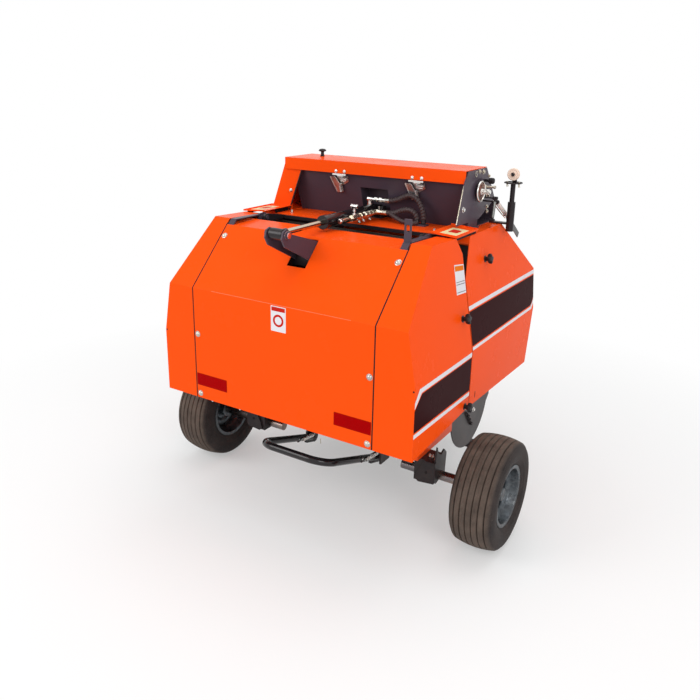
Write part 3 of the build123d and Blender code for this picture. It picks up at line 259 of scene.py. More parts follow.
# ---- shader groups ----
class Nodes:
    """A node tree with short ways to add the nodes used here; place is its Object coordinate."""

    def __init__(self, tree):
        self.tree = tree
        self.place = self.add("TexCoord").outputs["Object"]

    def wire(self, sockets, values):
        """Puts other nodes' outputs, or plain values, on sockets; a _ in a socket's name stands for a space."""
        for key, value in dict(values).items():
            socket = sockets[key.replace("_", " ") if isinstance(key, str) else key]
            if isinstance(value, bpy.types.NodeSocket):
                self.tree.links.new(value, socket)
            else:
                socket.default_value = value

    def add(self, kind, values=(), **settings):
        node = self.tree.nodes.new("ShaderNode" + kind)
        for key, value in settings.items():
            setattr(node, key, value)
        self.wire(node.inputs, values)
        return node

    def maths(self, operation, *values):
        return self.add("Math", dict(enumerate(values)), operation=operation).outputs[0]

    def times(self, *values):
        return self.maths("MULTIPLY", *values)

    def vector(self, operation, *values, **more):
        return self.add("VectorMath", {**dict(enumerate(values)), **more}, operation=operation).outputs

    def parts(self, vector):
        return self.add("SeparateXYZ", {0: vector}).outputs

    def facing(self):
        return self.add("NewGeometry").outputs["Normal"]

    def remap(self, value, low, high, to_low=0.0, to_high=1.0):
        """The value from low..high to to_low..to_high, held at both ends."""
        row = {"Value": value, "From Min": low, "From Max": high, "To Min": to_low, "To Max": to_high}
        return self.add("MapRange", row).outputs[0]

    def mix(self, amount, first, second):
        """Colour between two colours."""
        return self.add("Mix", {0: amount, 6: first, 7: second}, data_type="RGBA", clamp_factor=True).outputs[2]

    def mix_value(self, amount, first, second):
        return self.add("Mix", {0: amount, 2: first, 3: second}, data_type="FLOAT").outputs[0]

    def noise(self, scale, detail=4.0, rough=0.55, place=None, output="Fac"):
        values = {"Scale": scale, "Detail": detail, "Roughness": rough}
        return self.add("TexNoise", {"Vector": place or self.place, **values}).outputs[output]

    def patches(self, low, high, scale, detail=4.0, rough=0.55, to_low=0.0, to_high=1.0):
        """Noise with its values from low..high stretched to to_low..to_high."""
        return self.remap(self.noise(scale, detail, rough), low, high, to_low, to_high)

    def mapped(self, **values):
        return self.add("Mapping", {"Vector": self.place, **values}).outputs[0]

    def bump(self, height, strength, distance=0.001, **normal):
        values = {"Height": height, "Strength": strength, "Distance": distance, **normal}
        return self.add("Bump", values).outputs[0]

    def group(self, group, **values):
        return self.add("Group", values, node_tree=group).outputs

    def seen(self):
        """1 for the camera's rays and for what gloss or glass shows of them."""
        rays = self.add("LightPath").outputs
        return self.maths("MAXIMUM", rays["Is Camera Ray"],
                          self.maths("MAXIMUM", rays["Is Glossy Ray"], rays["Is Transmission Ray"]))


def new_group(name, inputs, outputs):
    """Shader node group; inputs are (name, kind, value) and outputs (name, kind)."""
    group = bpy.data.node_groups.new(name, "ShaderNodeTree")
    for label, kind, value in inputs:
        socket = group.interface.new_socket(label, in_out="INPUT", socket_type="NodeSocket" + kind)
        socket.default_value = value
    for label, kind in outputs:
        group.interface.new_socket(label, in_out="OUTPUT", socket_type="NodeSocket" + kind)
    source = group.nodes.new("NodeGroupInput").outputs
    sink = group.nodes.new("NodeGroupOutput").inputs
    return Nodes(group), source, sink


WHITE = (1, 1, 1, 1)
EARTH = (0.25, 0.19, 0.14, 1)


def edge_group():
    """Rounded edges: the softened normal, and a mask that is 1 where it turns away from the face."""
    t, source, sink = new_group("edge_wear", [("Width", "Float", 0.0015), ("Bite", "Float", 0.5)],
                                [("Edge", "Float"), ("Normal", "Vector")])
    soft = t.add("Bevel", {"Radius": source["Width"]}, samples=4).outputs[0]
    turn = t.vector("DOT_PRODUCT", soft, t.facing())["Value"]
    broken = t.mix_value(source["Bite"], 1.0, t.patches(0.38, 0.62, 60.0, 5.0))
    t.wire(sink, {"Edge": t.times(t.remap(turn, 0.995, 0.86), broken), "Normal": soft})
    return t.tree


def mottle_group():
    """A colour made lighter and darker in slow clouds and a little fine speckle."""
    t, source, sink = new_group("mottle", [("Color", "Color", WHITE), ("Scale", "Float", 4.0),
                                           ("Spread", "Float", 0.1)], [("Color", "Color"), ("Cloud", "Float")])
    cloud = t.noise(source["Scale"], 3.0)
    speckle = t.noise(420.0, 2.0)
    centred = t.maths("SUBTRACT", t.maths("ADD", t.times(cloud, 0.8), t.times(speckle, 0.2)), 0.5)
    gain = t.maths("MULTIPLY_ADD", centred, source["Spread"], 1.0)
    t.wire(sink, {"Color": t.vector("SCALE", source["Color"], Scale=gain)[0], "Cloud": cloud})
    return t.tree


def dust_group():
    """Dust over a colour: more on faces that look up and towards the ground, in patches."""
    t, source, sink = new_group("dust", [("Color", "Color", WHITE), ("Dust", "Color", EARTH), ("Amount", "Float", 0.3),
                                         ("Reach", "Float", 0.5)], [("Color", "Color"), ("Mask", "Float")])
    low = t.add("MapRange", {"Value": t.parts(t.place)["Z"], "From Max": source["Reach"], "To Min": 1.0, "To Max": 0.0})
    lying = t.remap(t.parts(t.facing())["Z"], 0.2, 1.0, 0.0, 0.35)
    patches = t.patches(0.35, 0.72, 14.0, 8.0, 0.62)
    fine = t.patches(0.3, 0.7, 160.0, 3.0, to_low=0.6)
    where = t.times(t.maths("MAXIMUM", low.outputs[0], lying), t.times(patches, fine))
    mask = t.times(where, source["Amount"])
    t.wire(sink, {"Color": t.mix(mask, source["Color"], source["Dust"]), "Mask": mask})
    return t.tree


def scratch_group():
    """Fine straight scratches: stretched noise in two directions, kept where it is strongest."""
    t, source, sink = new_group("scratches", [("Scale", "Float", 1.0)], [("Mask", "Float")])
    masks = []
    for turn in ((0.3, 0.8, 0.1), (1.1, -0.4, 0.7)):
        laid = t.mapped(Rotation=turn, Scale=(4.0, 4.0, 260.0))
        masks.append(t.remap(t.noise(source["Scale"], 2.0, place=laid), 0.69, 0.74))
    t.wire(sink, {"Mask": t.maths("MAXIMUM", *masks)})
    return t.tree


EDGE, MOTTLE, DUST, SCRATCH = edge_group(), mottle_group(), dust_group(), scratch_group()


# ---- finishes ----
def colour(red, green, blue):
    """Screen colour 0..255 as the linear colour that shaders use."""
    screen = np.array((red, green, blue)) / 255
    linear = np.where(screen <= 0.04045, screen / 12.92, ((screen + 0.055) / 1.055) ** 2.4)
    return (*linear.tolist(), 1.0)


def blank(name, **sockets):
    """New material: its nodes, and its Principled BSDF with plain values on the named sockets."""
    material = bpy.data.materials.new(name)
    material.use_nodes = True
    shader = material.node_tree.nodes["Principled BSDF"]
    t = Nodes(material.node_tree)
    t.wire(shader.inputs, sockets)
    return material, t, shader


def coated(name, base, rough=(0.22, 0.34), spread=0.1, scale=3.0, edge_wear_and_highlight_colour=None, edge_wear_and_highlight_share=0.5, bite=0.5, width=0.0015,
           dust=0.15, reach=0.5, peel=0.03, peel_scale=900.0, wave=0.0, base_node=None, **sockets):
    """Painted or moulded surface: clouded colour, rounded edges lighter as wear and as painted highlight, dust, and a
    fine skin of orange peel.
    """
    material, t, shader = blank(name, **{"Specular_IOR_Level": 0.2, **sockets})
    edged = t.group(MOTTLE, Color=base_node(t) if base_node else base, Scale=scale, Spread=spread)["Color"]
    edge = t.group(EDGE, Width=width, Bite=bite)
    # Lighter colour on the rounded edges: partly paint worn through, partly a painted highlight along edges and folds.
    if edge_wear_and_highlight_colour:
        edged = t.mix(t.times(edge["Edge"], edge_wear_and_highlight_share), edged, edge_wear_and_highlight_colour)
    dusty = t.group(DUST, Color=edged, Dust=EARTH, Amount=dust, Reach=reach)
    smudge = t.patches(0.3, 0.7, 6.0, 6.0, 0.6, *rough)
    normal = t.bump(t.noise(peel_scale, 2.0), peel, Normal=edge["Normal"])
    if wave:
        normal = t.bump(t.noise(2.2, 1.0, 0.4), wave, 0.02, Normal=normal)
    t.wire(shader.inputs, {"Base Color": dusty["Color"], "Normal": normal,
                           "Roughness": t.maths("MULTIPLY_ADD", dusty["Mask"], 0.4, smudge)})
    return material


def metal(name, base, rough=(0.2, 0.4), spread=0.25, tint=None, scratches=0.15, grain=0.05, dust=0.1):
    """Bare or plated metal: clouded colour, an uneven tint, scratches that roughen it, and a fine grain."""
    material, t, shader = blank(name, Metallic=1.0)
    tone = t.group(MOTTLE, Color=(*base, 1), Scale=30.0, Spread=spread)["Color"]
    if tint:
        tone = t.mix(t.times(t.patches(0.42, 0.66, 22.0, 3.0), 0.6), tone, (*tint, 1))
    marks = t.times(t.group(SCRATCH, Scale=3.0)["Mask"], scratches)
    smudge = t.patches(0.3, 0.7, 40.0, 5.0, 0.55, *rough)
    edge = t.group(EDGE, Width=0.0008, Bite=0.0)
    t.wire(shader.inputs, {"Base Color": t.group(DUST, Color=tone, Amount=dust, Reach=0.3)["Color"],
                           "Roughness": t.maths("ADD", smudge, marks),
                           "Normal": t.bump(t.noise(700.0, 3.0), grain, Normal=edge["Normal"])})
    return material


ORANGE = (0.95, 0.084, 0.005, 1)
CHARCOAL = colour(72, 62, 73)


def rail_below_plate(t):
    """Orange on the low rail, charcoal on the side plate above it."""
    return t.mix(t.remap(t.parts(t.place)["Z"], 0.335, 0.336), ORANGE, CHARCOAL)


def galvanised_metal():
    """Hot-dip zinc: crystal spangles of differing tone and gloss, with dull patches."""
    material, t, shader = blank("galvanised", Metallic=0.85)
    warped = t.noise(18.0, 2.0, output="Color")
    shifted = t.vector("MULTIPLY_ADD", warped, (0.02, 0.02, 0.02), t.place)[0]
    cells = t.add("TexVoronoi", {"Vector": shifted, "Scale": 95.0, "Randomness": 1.0})
    tone = t.parts(cells.outputs["Color"])
    bright = t.mix(tone["X"], (0.060, 0.072, 0.085, 1), (0.13, 0.15, 0.165, 1))
    faded = t.mix(t.times(t.patches(0.35, 0.7, 9.0, 6.0), 0.6), bright, (0.050, 0.052, 0.058, 1))
    edge = t.group(EDGE, Width=0.001, Bite=0.0)
    t.wire(shader.inputs, {"Base Color": t.group(DUST, Color=faded, Amount=0.25, Reach=0.35)["Color"],
                           "Roughness": t.remap(tone["Y"], 0.0, 1.0, 0.26, 0.48),
                           "Normal": t.bump(tone["Z"], 0.06, Normal=edge["Normal"])})
    return material


def tyre_rubber():
    """Rubber, brown with road dust on the tread and darker in the grooves and on the walls."""
    material, t, shader = blank("tyre_rubber", Specular_IOR_Level=0.12)
    centred = t.mapped(Location=(0, (ORIGIN_Y - WHEEL[1]) * MM, -WHEEL[2] * MM), Scale=(0, 1, 1))
    on_tread = t.remap(t.vector("LENGTH", centred)["Value"], 0.186, 0.198)
    clouds = t.patches(0.32, 0.7, 16.0, 7.0, 0.65)
    wall = t.mix(clouds, colour(40, 35, 35), colour(66, 59, 57))
    tread = t.mix(clouds, colour(72, 62, 56), colour(104, 91, 82))
    specks = t.times(t.patches(0.62, 0.72, 380.0, 3.0), 0.35)
    t.wire(shader.inputs, {"Base Color": t.mix(specks, t.mix(on_tread, wall, tread), colour(150, 136, 122)),
                           "Roughness": t.remap(clouds, 0.0, 1.0, 0.55, 0.8),
                           "Normal": t.bump(t.noise(320.0, 5.0), 0.25)})
    return material


def reflector_film():
    """Dark red reflective film with its fine honeycomb."""
    material, t, shader = blank("reflector_film", Specular_IOR_Level=0.02)
    cells = t.add("TexVoronoi", {"Vector": t.place, "Scale": 260.0, "Randomness": 0.15}, feature="DISTANCE_TO_EDGE")
    line = t.remap(cells.outputs["Distance"], 0.02, 0.08)
    tone = t.mix(line, colour(112, 0, 2), colour(172, 0, 2))
    t.wire(shader.inputs, {"Base Color": t.group(MOTTLE, Color=tone, Scale=12.0, Spread=0.2)["Color"],
                           "Roughness": t.remap(line, 0.0, 1.0, 0.5, 0.28), "Normal": t.bump(line, 0.1, 0.0005)})
    return material


def rod_metal():
    """Chrome along the rod, and black paint on the eye at its rear end."""
    material, t, shader = blank("rod_metal", Specular_IOR_Level=0.35)
    plated = t.remap(t.parts(t.place)["Y"], (54.5 - ORIGIN_Y) * MM, (55.0 - ORIGIN_Y) * MM)
    streak = t.noise(1.0, 3.0, place=t.mapped(Scale=(90.0, 3.0, 90.0)))
    tone = t.mix(streak, (0.80, 0.76, 0.66, 1), (0.46, 0.38, 0.24, 1))
    black = t.group(MOTTLE, Color=colour(30, 24, 26), Scale=20.0, Spread=0.4)["Color"]
    smudge = t.patches(0.3, 0.7, 40.0, 5.0, 0.55, 0.06, 0.16)
    edge = t.group(EDGE, Width=0.0012, Bite=0.0)
    t.wire(shader.inputs, {"Base Color": t.mix(plated, black, tone), "Metallic": plated,
                           "Roughness": t.mix_value(plated, 0.28, smudge),
                           "Normal": t.bump(t.noise(700.0, 3.0), 0.02, Normal=edge["Normal"])})
    return material


def film(name, base):
    """Printed film: an even colour with faint rubbing and a very slight ripple."""
    return coated(name, base, rough=(0.25, 0.4), spread=0.08, scale=12.0, dust=0.05, peel=0.02, peel_scale=300.0,
                  width=0.0002, Specular_IOR_Level=0.01)


# The orange paint's lighter edge colour stands for the light lines along its folds and edges: a painted highlight.
orange_paint = coated("orange_paint", ORANGE, rough=(0.2, 0.3), spread=0.08, scale=2.0, edge_wear_and_highlight_colour=(1.0, 0.17, 0.05, 1),
                      edge_wear_and_highlight_share=0.45, bite=0.25, dust=0.05, reach=0.6, peel=0.035, wave=0.05, Specular_IOR_Level=0.03)
charcoal_paint = coated("charcoal_paint", CHARCOAL, rough=(0.28, 0.42), spread=0.3, edge_wear_and_highlight_colour=colour(120, 108, 112),
                        bite=0.4, dust=0.12, peel=0.06, wave=0.03)
rail_paint = coated("rail_paint", CHARCOAL, rough=(0.3, 0.45), spread=0.2, edge_wear_and_highlight_colour=colour(150, 110, 95), edge_wear_and_highlight_share=0.3,
                    dust=0.2, base_node=rail_below_plate)
black_paint = coated("black_paint", colour(40, 34, 37), rough=(0.25, 0.4), spread=0.3, edge_wear_and_highlight_colour=colour(115, 105, 105),
                     edge_wear_and_highlight_share=0.45, bite=0.6, dust=0.25, reach=0.45, peel=0.08, peel_scale=500.0)
gloss_black = coated("gloss_black", colour(26, 22, 25), rough=(0.12, 0.22), spread=0.3, edge_wear_and_highlight_colour=colour(90, 84, 86),
                     edge_wear_and_highlight_share=0.3, dust=0.05, Specular_IOR_Level=0.4)
black_plastic = coated("black_plastic", colour(34, 29, 32), rough=(0.35, 0.5), spread=0.2, edge_wear_and_highlight_colour=colour(90, 82, 84),
                       edge_wear_and_highlight_share=0.3, width=0.001, dust=0.08, peel=0.15, peel_scale=600.0)
white_plastic = coated("white_plastic", colour(228, 216, 208), rough=(0.3, 0.42), edge_wear_and_highlight_colour=colour(245, 240, 235),
                       edge_wear_and_highlight_share=0.4, dust=0.1, Subsurface_Weight=0.1)
cream_plastic = coated("cream_plastic", colour(240, 214, 196), rough=(0.35, 0.5), scale=60.0,
                       edge_wear_and_highlight_colour=colour(250, 236, 226), edge_wear_and_highlight_share=0.3, dust=0.05)
spiral_plastic = coated("spiral_plastic", colour(74, 63, 64), rough=(0.22, 0.36), spread=0.25,
                        edge_wear_and_highlight_colour=colour(130, 122, 122), edge_wear_and_highlight_share=0.4, bite=0.2, width=0.0006, dust=0.05, peel=0.1)
hose_rubber = coated("hose_rubber", colour(30, 27, 28), rough=(0.4, 0.55), spread=0.25, dust=0.1, peel=0.2,
                     peel_scale=700.0)
cast_iron = coated("cast_iron", colour(58, 54, 56), rough=(0.5, 0.68), spread=0.35, edge_wear_and_highlight_colour=colour(120, 112, 108),
                   edge_wear_and_highlight_share=0.4, dust=0.25, peel=0.5, peel_scale=260.0, Metallic=0.3)
# Pale orange for the painted highlight along the rear fold.
worn_orange = coated("worn_orange", colour(255, 128, 84), rough=(0.3, 0.4), spread=0.12, scale=9.0, dust=0.05)
# Near-black finish for painted shade: gaps, dark sheets and drawn holes.
dark_hole = coated("dark_hole", colour(20, 15, 16), rough=(0.6, 0.8), dust=0.1)
zinc = metal("zinc", (0.50, 0.50, 0.49), (0.18, 0.36), tint=(0.72, 0.66, 0.48))
brass_zinc = metal("brass_zinc", (0.60, 0.54, 0.42), (0.16, 0.34), tint=(0.68, 0.62, 0.55))
chrome = metal("chrome", (0.80, 0.79, 0.75), (0.05, 0.12), 0.05, scratches=0.08, grain=0.01, dust=0.02)
pale_brass = metal("pale_brass", (0.86, 0.77, 0.58), (0.2, 0.36), 0.3, (0.93, 0.90, 0.84))
latch_zinc = metal("latch_zinc", (0.50, 0.50, 0.50), (0.32, 0.46), 0.35, (0.70, 0.67, 0.60))
bright_zinc = metal("bright_zinc", (0.72, 0.71, 0.70), (0.18, 0.34), 0.2, (0.66, 0.61, 0.52))
eye_steel = metal("eye_steel", (0.52, 0.26, 0.25), (0.16, 0.3), 0.9, (0.85, 0.80, 0.80), scratches=0.3)
dull_steel = metal("dull_steel", (0.20, 0.20, 0.19), (0.3, 0.45), 0.2)
bare_steel = metal("bare_steel", (0.34, 0.33, 0.32), (0.32, 0.5), 0.4, (0.26, 0.19, 0.14), 0.25, 0.12)
roller_steel = metal("roller_steel", (0.065, 0.058, 0.054), (0.4, 0.6), 0.3, (0.11, 0.07, 0.045), 0.2, 0.1)
axle_steel = metal("axle_steel", (0.17, 0.15, 0.155), (0.2, 0.36), 0.4, (0.36, 0.26, 0.19), 0.25, 0.1, 0.2)
brake_lining = metal("brake_lining", (0.21, 0.085, 0.065), (0.16, 0.34), 0.5, (0.42, 0.30, 0.24), 0.2)
galvanised, rod_chrome, rubber, reflector = galvanised_metal(), rod_metal(), tyre_rubber(), reflector_film()
band_film = film("band_film", colour(50, 19, 21))
white_film = film("white_film", colour(226, 224, 228))
cream_film = film("cream_film", colour(224, 208, 160))
red_film = film("red_film", colour(196, 40, 30))
amber_film = film("amber_film", colour(232, 120, 30))

SLOTS = {
    "zinc": (zinc, brass_zinc, bright_zinc, pale_brass, latch_zinc, eye_steel, dull_steel),
    "orange_paint": (orange_paint, worn_orange), "black_paint": (black_paint,), "chrome": (chrome,),
    "black_plastic": (black_plastic,), "white_plastic": (white_plastic, cream_plastic),
    "hose_rubber": (hose_rubber, spiral_plastic), "tyre": (rubber,), "galvanised": (galvanised,),
}
slot_of = {finish.name: slot for slot, finishes in SLOTS.items() for finish in finishes}
NODE_FINISHES = (
    (orange_paint, "tailgate_cover tailgate_cap_left tailgate_cap_right side_cover_left side_cover_right top_panel "
                   "hinge_guards box_lid box_end_left"),
    (charcoal_paint, "tailgate_plate_left tailgate_plate_right twine_box box_end_right cylinder_bracket top_straps "
                     "hose_clamp hitch_frame"),
    (rail_paint, "chamber_plate_left chamber_plate_right"), (gloss_black, "cylinder_barrel kicker"),
    (axle_steel, "stub_axle_left stub_axle_right"), (bare_steel, "input_shaft pickup_reel"),
    (black_plastic, "shaft_guard lid_knob"), (rod_chrome, "cylinder_rod"), (brass_zinc, "lock_valve"),
    (white_plastic, "guide_pulley"), (cast_iron, "gearbox"),
)
node_finish = {label: finish for finish, labels in NODE_FINISHES for label in labels.split()}
for label, node in nodes.items():
    finish = roller_steel if "roller" in label else node_finish.get(label, black_paint)
    node.data.materials.clear()
    node.data.materials.append(finish)


# ---- hoses ----
HOSE_RADIUS = 6.5
HOSE_TOP = [(60, 588, 1161), (92, 588, 1161), (126, 583, 1171), (163, 578, 1190), (187, 576, 1190), (207, 576, 1178),
            (220, 577, 1158), (229, 578, 1135), (233, 579, 1112), (233, 579, 1091)]
HOSE_LOW = [(57, 575, 1117), (110, 575, 1117), (140, 572, 1132), (169, 570, 1140), (188, 570, 1137), (203, 571, 1126),
            (211, 571, 1109), (211, 571, 1091)]
HOSE_RETURN = [(219, 564, 1100), (210, 559, 1095), (194, 556, 1093.5), (165.5, 556, 1095), (140, 558, 1101),
               (118, 564, 1109), (100, 572, 1115)]
# the hoses run between their clamp on the machine and their unions on the barrel; build() bakes pieces given these ends
# in place
HOSE_BEND = (MACHINE, BARREL, tuple(placed((215, 578, 1110)).tolist()), tuple(placed((70, 578, 1140)).tolist()))
SPIRAL_PITCH = 11
CRIMP = [(2, 9.2), (4, 9.8), (9, 8.8), (10.5, 9.8), (16, 8.8), (17.5, 9.8), (24, 9.2), (26, 7.8)]


def spline_curve(name, route):
    """Smooth open spline with the route's points as its control points."""
    data = bpy.data.curves.new(name, "CURVE")
    data.dimensions = "3D"
    data.resolution_u = 16
    spline = data.splines.new("NURBS")
    spline.points.add(len(route) - 1)
    for point, place in zip(spline.points, route):
        point.co = (*placed(place), 1)
    spline.order_u = 3
    spline.use_endpoint_u = True
    curve = bpy.data.objects.new(name, data)
    scene.collection.objects.link(curve)
    return curve


def line_of(curve):
    """Points that the spline passes through, an even millimetre apart, and its length."""
    bpy.context.view_layer.update()
    mesh = bpy.data.meshes.new_from_object(curve.evaluated_get(bpy.context.evaluated_depsgraph_get()))
    points = np.array([corner.co for corner in mesh.vertices]) / MM + (0, ORIGIN_Y, 0)
    bpy.data.meshes.remove(mesh)
    reach = np.concatenate([[0], np.cumsum(np.linalg.norm(np.diff(points, axis=0), axis=1))])
    even = np.arange(0, reach[-1])
    return np.stack([np.interp(even, reach, points[:, axis]) for axis in range(3)], axis=1), reach[-1]


def spiral_guard(path, low, high, sides=20):
    """Sleeve whose radius swells and sinks along a screw line: low..high by the phase s / pitch - t, s in mm."""
    phase = (np.arange(len(path)) / SPIRAL_PITCH)[:, None] - np.arange(sides) / sides
    swell = np.clip(1.6 * np.abs(np.mod(phase, 1) * 2 - 1), 0, 1)
    return tube(path, high - (high - low) * swell ** 4, sides, hint=FORWARD)


def make_hose(name, route):
    """One hose with its spiral guard, crimped ends and union nuts."""
    curve = spline_curve(name + "_line", route)
    path, length = line_of(curve)
    bpy.data.objects.remove(curve)
    run = np.vstack([path[:-2:4], path[-1:]])
    hose = build(name, [tube(run, HOSE_RADIUS, 20, hint=FORWARD)], hose_rubber, HOSE_BEND,
                 replaces=[name.replace("soft_", "")])
    guard = build(name + "_guard", [spiral_guard(path[26:-16], 7.8, 10)], spiral_plastic, HOSE_BEND)
    collar = turned(CRIMP, path[0], path[8] - path[0], 24)
    foot = turned([(along * 0.6, radius) for along, radius in CRIMP], path[-1], path[-8] - path[-1], 24)
    ends = [build(name + "_collar", [collar], zinc, HOSE_BEND), build(name + "_foot", [foot], black_paint, HOSE_BEND)]


make_hose("soft_hose_top", HOSE_TOP)
make_hose("soft_hose_low", HOSE_LOW)
at = np.linspace(0, len(HOSE_RETURN) - 1, 150)
return_run = np.column_stack([np.interp(at, np.arange(len(HOSE_RETURN)), column) for column in zip(*HOSE_RETURN)])
for _ in range(60):
    return_run[1:-1] = (return_run[:-2] + return_run[1:-1] + return_run[2:]) / 3
build("hose_return", [spiral_guard(return_run, 6.6, 8.4)], spiral_plastic, HOSE_BEND)


# ---- fasteners ----
def hex_bolt(place, along, size):
    """Hexagon head with chamfered corners and a turned-up crown, on a round washer; size is half the head's width."""
    high, foot = size * 0.75, size * 0.22
    head = [(foot, size), (foot + high * 0.85, size), (foot + high, size * 0.86), (foot + high, 0)]
    base = [(0, size * 1.45), (foot * 0.8, size * 1.45), (foot, size * 1.35)]
    return [turned(head, place, along, 6), turned(base, place, along, 24)]


def dome_bolt(place, along, size=9, high=6):
    """Round-headed bolt: a quarter-ellipse turned about its axis, on a flat washer."""
    a = np.linspace(0, np.pi / 2, 7)
    dome = np.column_stack([1.2 + high * np.sin(a), size * np.cos(a)])
    return [turned(dome, place, along, 24),
            turned([(0, size * 1.25), (1, size * 1.25), (1.4, size * 1.15)], place, along, 24)]


def lock_nut(place, along, size):
    """Nut with a round collar and the bolt's end standing out of it."""
    return [turned([(0, size * 1.3), (1.5, size * 1.3)], place, along, 24),
            turned([(1.5, size), (size * 0.9, size), (size, size * 0.85)], place, along, 6),
            turned([(size, size * 0.78), (size * 1.35, size * 0.72), (size * 1.4, size * 0.4)], place, along, 20),
            turned([(size, size * 0.5), (size * 1.9, size * 0.5), (size * 2.0, size * 0.4)], place, along, 16)]


def bolts(make, along, *rows):
    """Shells of one kind of bolt, for rows of (x, y, z, sizes)."""
    return [shell for x, y, z, *sizes in rows for shell in make((x, y, z), along, *sizes)]


def stack(origin, along, *rows, hint=UP):
    """Steps along a line, turned or cornered, each with chamfered rims: rows of (from, to, radius, corners)."""
    shells = []
    for start, end, radius, corners in rows:
        rim = min(1.2, 0.15 * radius, 0.3 * (end - start))
        profile = [(start, radius - rim), (start + rim, radius), (end - rim, radius), (end, radius - rim)]
        shells.append(turned(profile, origin, along, corners, hint))
    return shells


def flat_ring(place, along, high, outer, inner, steps):
    return turned([(0, outer), (high, outer), (high, inner), (0, inner)], place, along, steps, loop=True)


def oval(s, r, long, wide, steps):
    """Profile (s + long cos t, r + wide sin t)."""
    t = np.arange(steps) * 2 * np.pi / steps
    return np.column_stack([s + long * np.cos(t), r + wide * np.sin(t)])


gate_bolts = []
for x in (-1, 1):
    gate_bolts += dome_bolt((x * 356, 160, SLOPE_FOOT + SLOPE_RISE * 160), (0, -SLOPE_RISE, 1))
    gate_bolts += bolts(dome_bolt, BACK, (x * 357, 0, 713), (x * 356, 0, 483))
build("gate_bolts", gate_bolts, zinc, TAILGATE)

# ---- eye bolt and bolts on top ----
EYE = (0, 10, CYLINDER_Z)
build("eye_bolt_head", stack(EYE, RIGHT, (36.2, 37.6, 13.5, 28), (37.2, 45.6, 11.8, 6)), eye_steel, TAILGATE)
build("eye_bolt_nut", stack(EYE, (-1, 0, 0), (36.2, 37.6, 13.5, 28), (37.2, 44, 11.8, 6), (43.6, 46.2, 7.5, 20)), zinc,
      TAILGATE)
top_bolts = bolts(lock_nut, UP, (314.5, 501, 1085, 6), (-317, 522, 1085, 6), (332.8, 624.5, 1085, 6),
                  (352.8, 679.8, 1085, 6))
build("top_bolts", top_bolts + dome_bolt((-353.4, 565, 1164.4), BACK, 6.2, 4), zinc)

# ---- lid latches ----
PANEL_TOP = np.array((0, 574, 1250))            # upper edge of the box's leaning rear panel
PANEL_UP = unit((0, -61, 165))
PANEL_OUT = np.cross(RIGHT, PANEL_UP)
LATCHES = (-116, 209)


def on_panel(x, up, out):
    """Place on the leaning panel: along the machine's width, up from its upper edge, and out of it."""
    return PANEL_TOP + x * np.array(RIGHT) + up * PANEL_UP + out * PANEL_OUT


def panel_bar(x, places, out, radius, loop=False):
    return tube([on_panel(x + a, b, out) for a, b in places], radius, 10, PANEL_OUT, loop)


def make_latch(x):
    """Toggle latch: a bent lever with turned-out edges on its base plate, a wire loop, a knuckle and its pin."""
    lever = [(-56, -14), (-30, -14), (-19, -40), (-6, -40), (-6, -76), (-34, -80)]
    base = [(-30, -12), (22, -12), (22, -34), (-4, -50), (-22, -50)]
    t = np.linspace(0, 2 * np.pi, 40, endpoint=False)
    # superellipse of power 4
    wire = [5 + 14.5 * np.sign(np.cos(t)) * np.abs(np.cos(t)) ** 0.5,
            -22 + 6 * np.sign(np.sin(t)) * np.abs(np.sin(t)) ** 0.5]
    knuckle = [(step * 4.2, step * 4.2 + 3.6, 5.8 - 0.3 * step, 20) for step in range(8)]
    return [plate(rounded(lever, 4), on_panel(x, 0, 7.5), RIGHT, PANEL_UP, 1.6),
            plate(rounded(base, 3), on_panel(x, 0, 0.4), RIGHT, PANEL_UP, 1.6),
            panel_bar(x, ((-54, -16), (-45, -46), (-34, -77)), 8.8, 1.8),
            panel_bar(x, ((-30, -16), (-19, -40)), 8.8, 1.8), panel_bar(x, zip(*wire), 10.5, 1.7, loop=True),
            *stack(on_panel(x - 12.5, -74, 12.5), PANEL_UP, *knuckle),
            *stack(on_panel(x - 12, -22, 8.5), RIGHT, (0, 34, 2.8, 16)),
            *dome_bolt(on_panel(x + 14, -28, 1.8), PANEL_OUT, 3.2, 2.2)]


def make_catch(x):
    """The latch's keeper under the lid: two flat plates and two bolts."""
    return [plate(oblong(59, 6.2, 1), (x, 554, 1246.2), RIGHT, UP, 6),
            plate(oblong(26, 10, 2), (x + 3, 553.5, 1244), RIGHT, UP, 3),
            *bolts(dome_bolt, BACK, (x - 18, 555.5, 1258, 5, 3), (x + 19.5, 555.5, 1258, 5, 3))]


build("latches", make_latch(LATCHES[0]) + make_latch(LATCHES[1]), latch_zinc)
build("lid_catches", make_catch(LATCHES[0]) + make_catch(LATCHES[1]), bright_zinc, "lid")

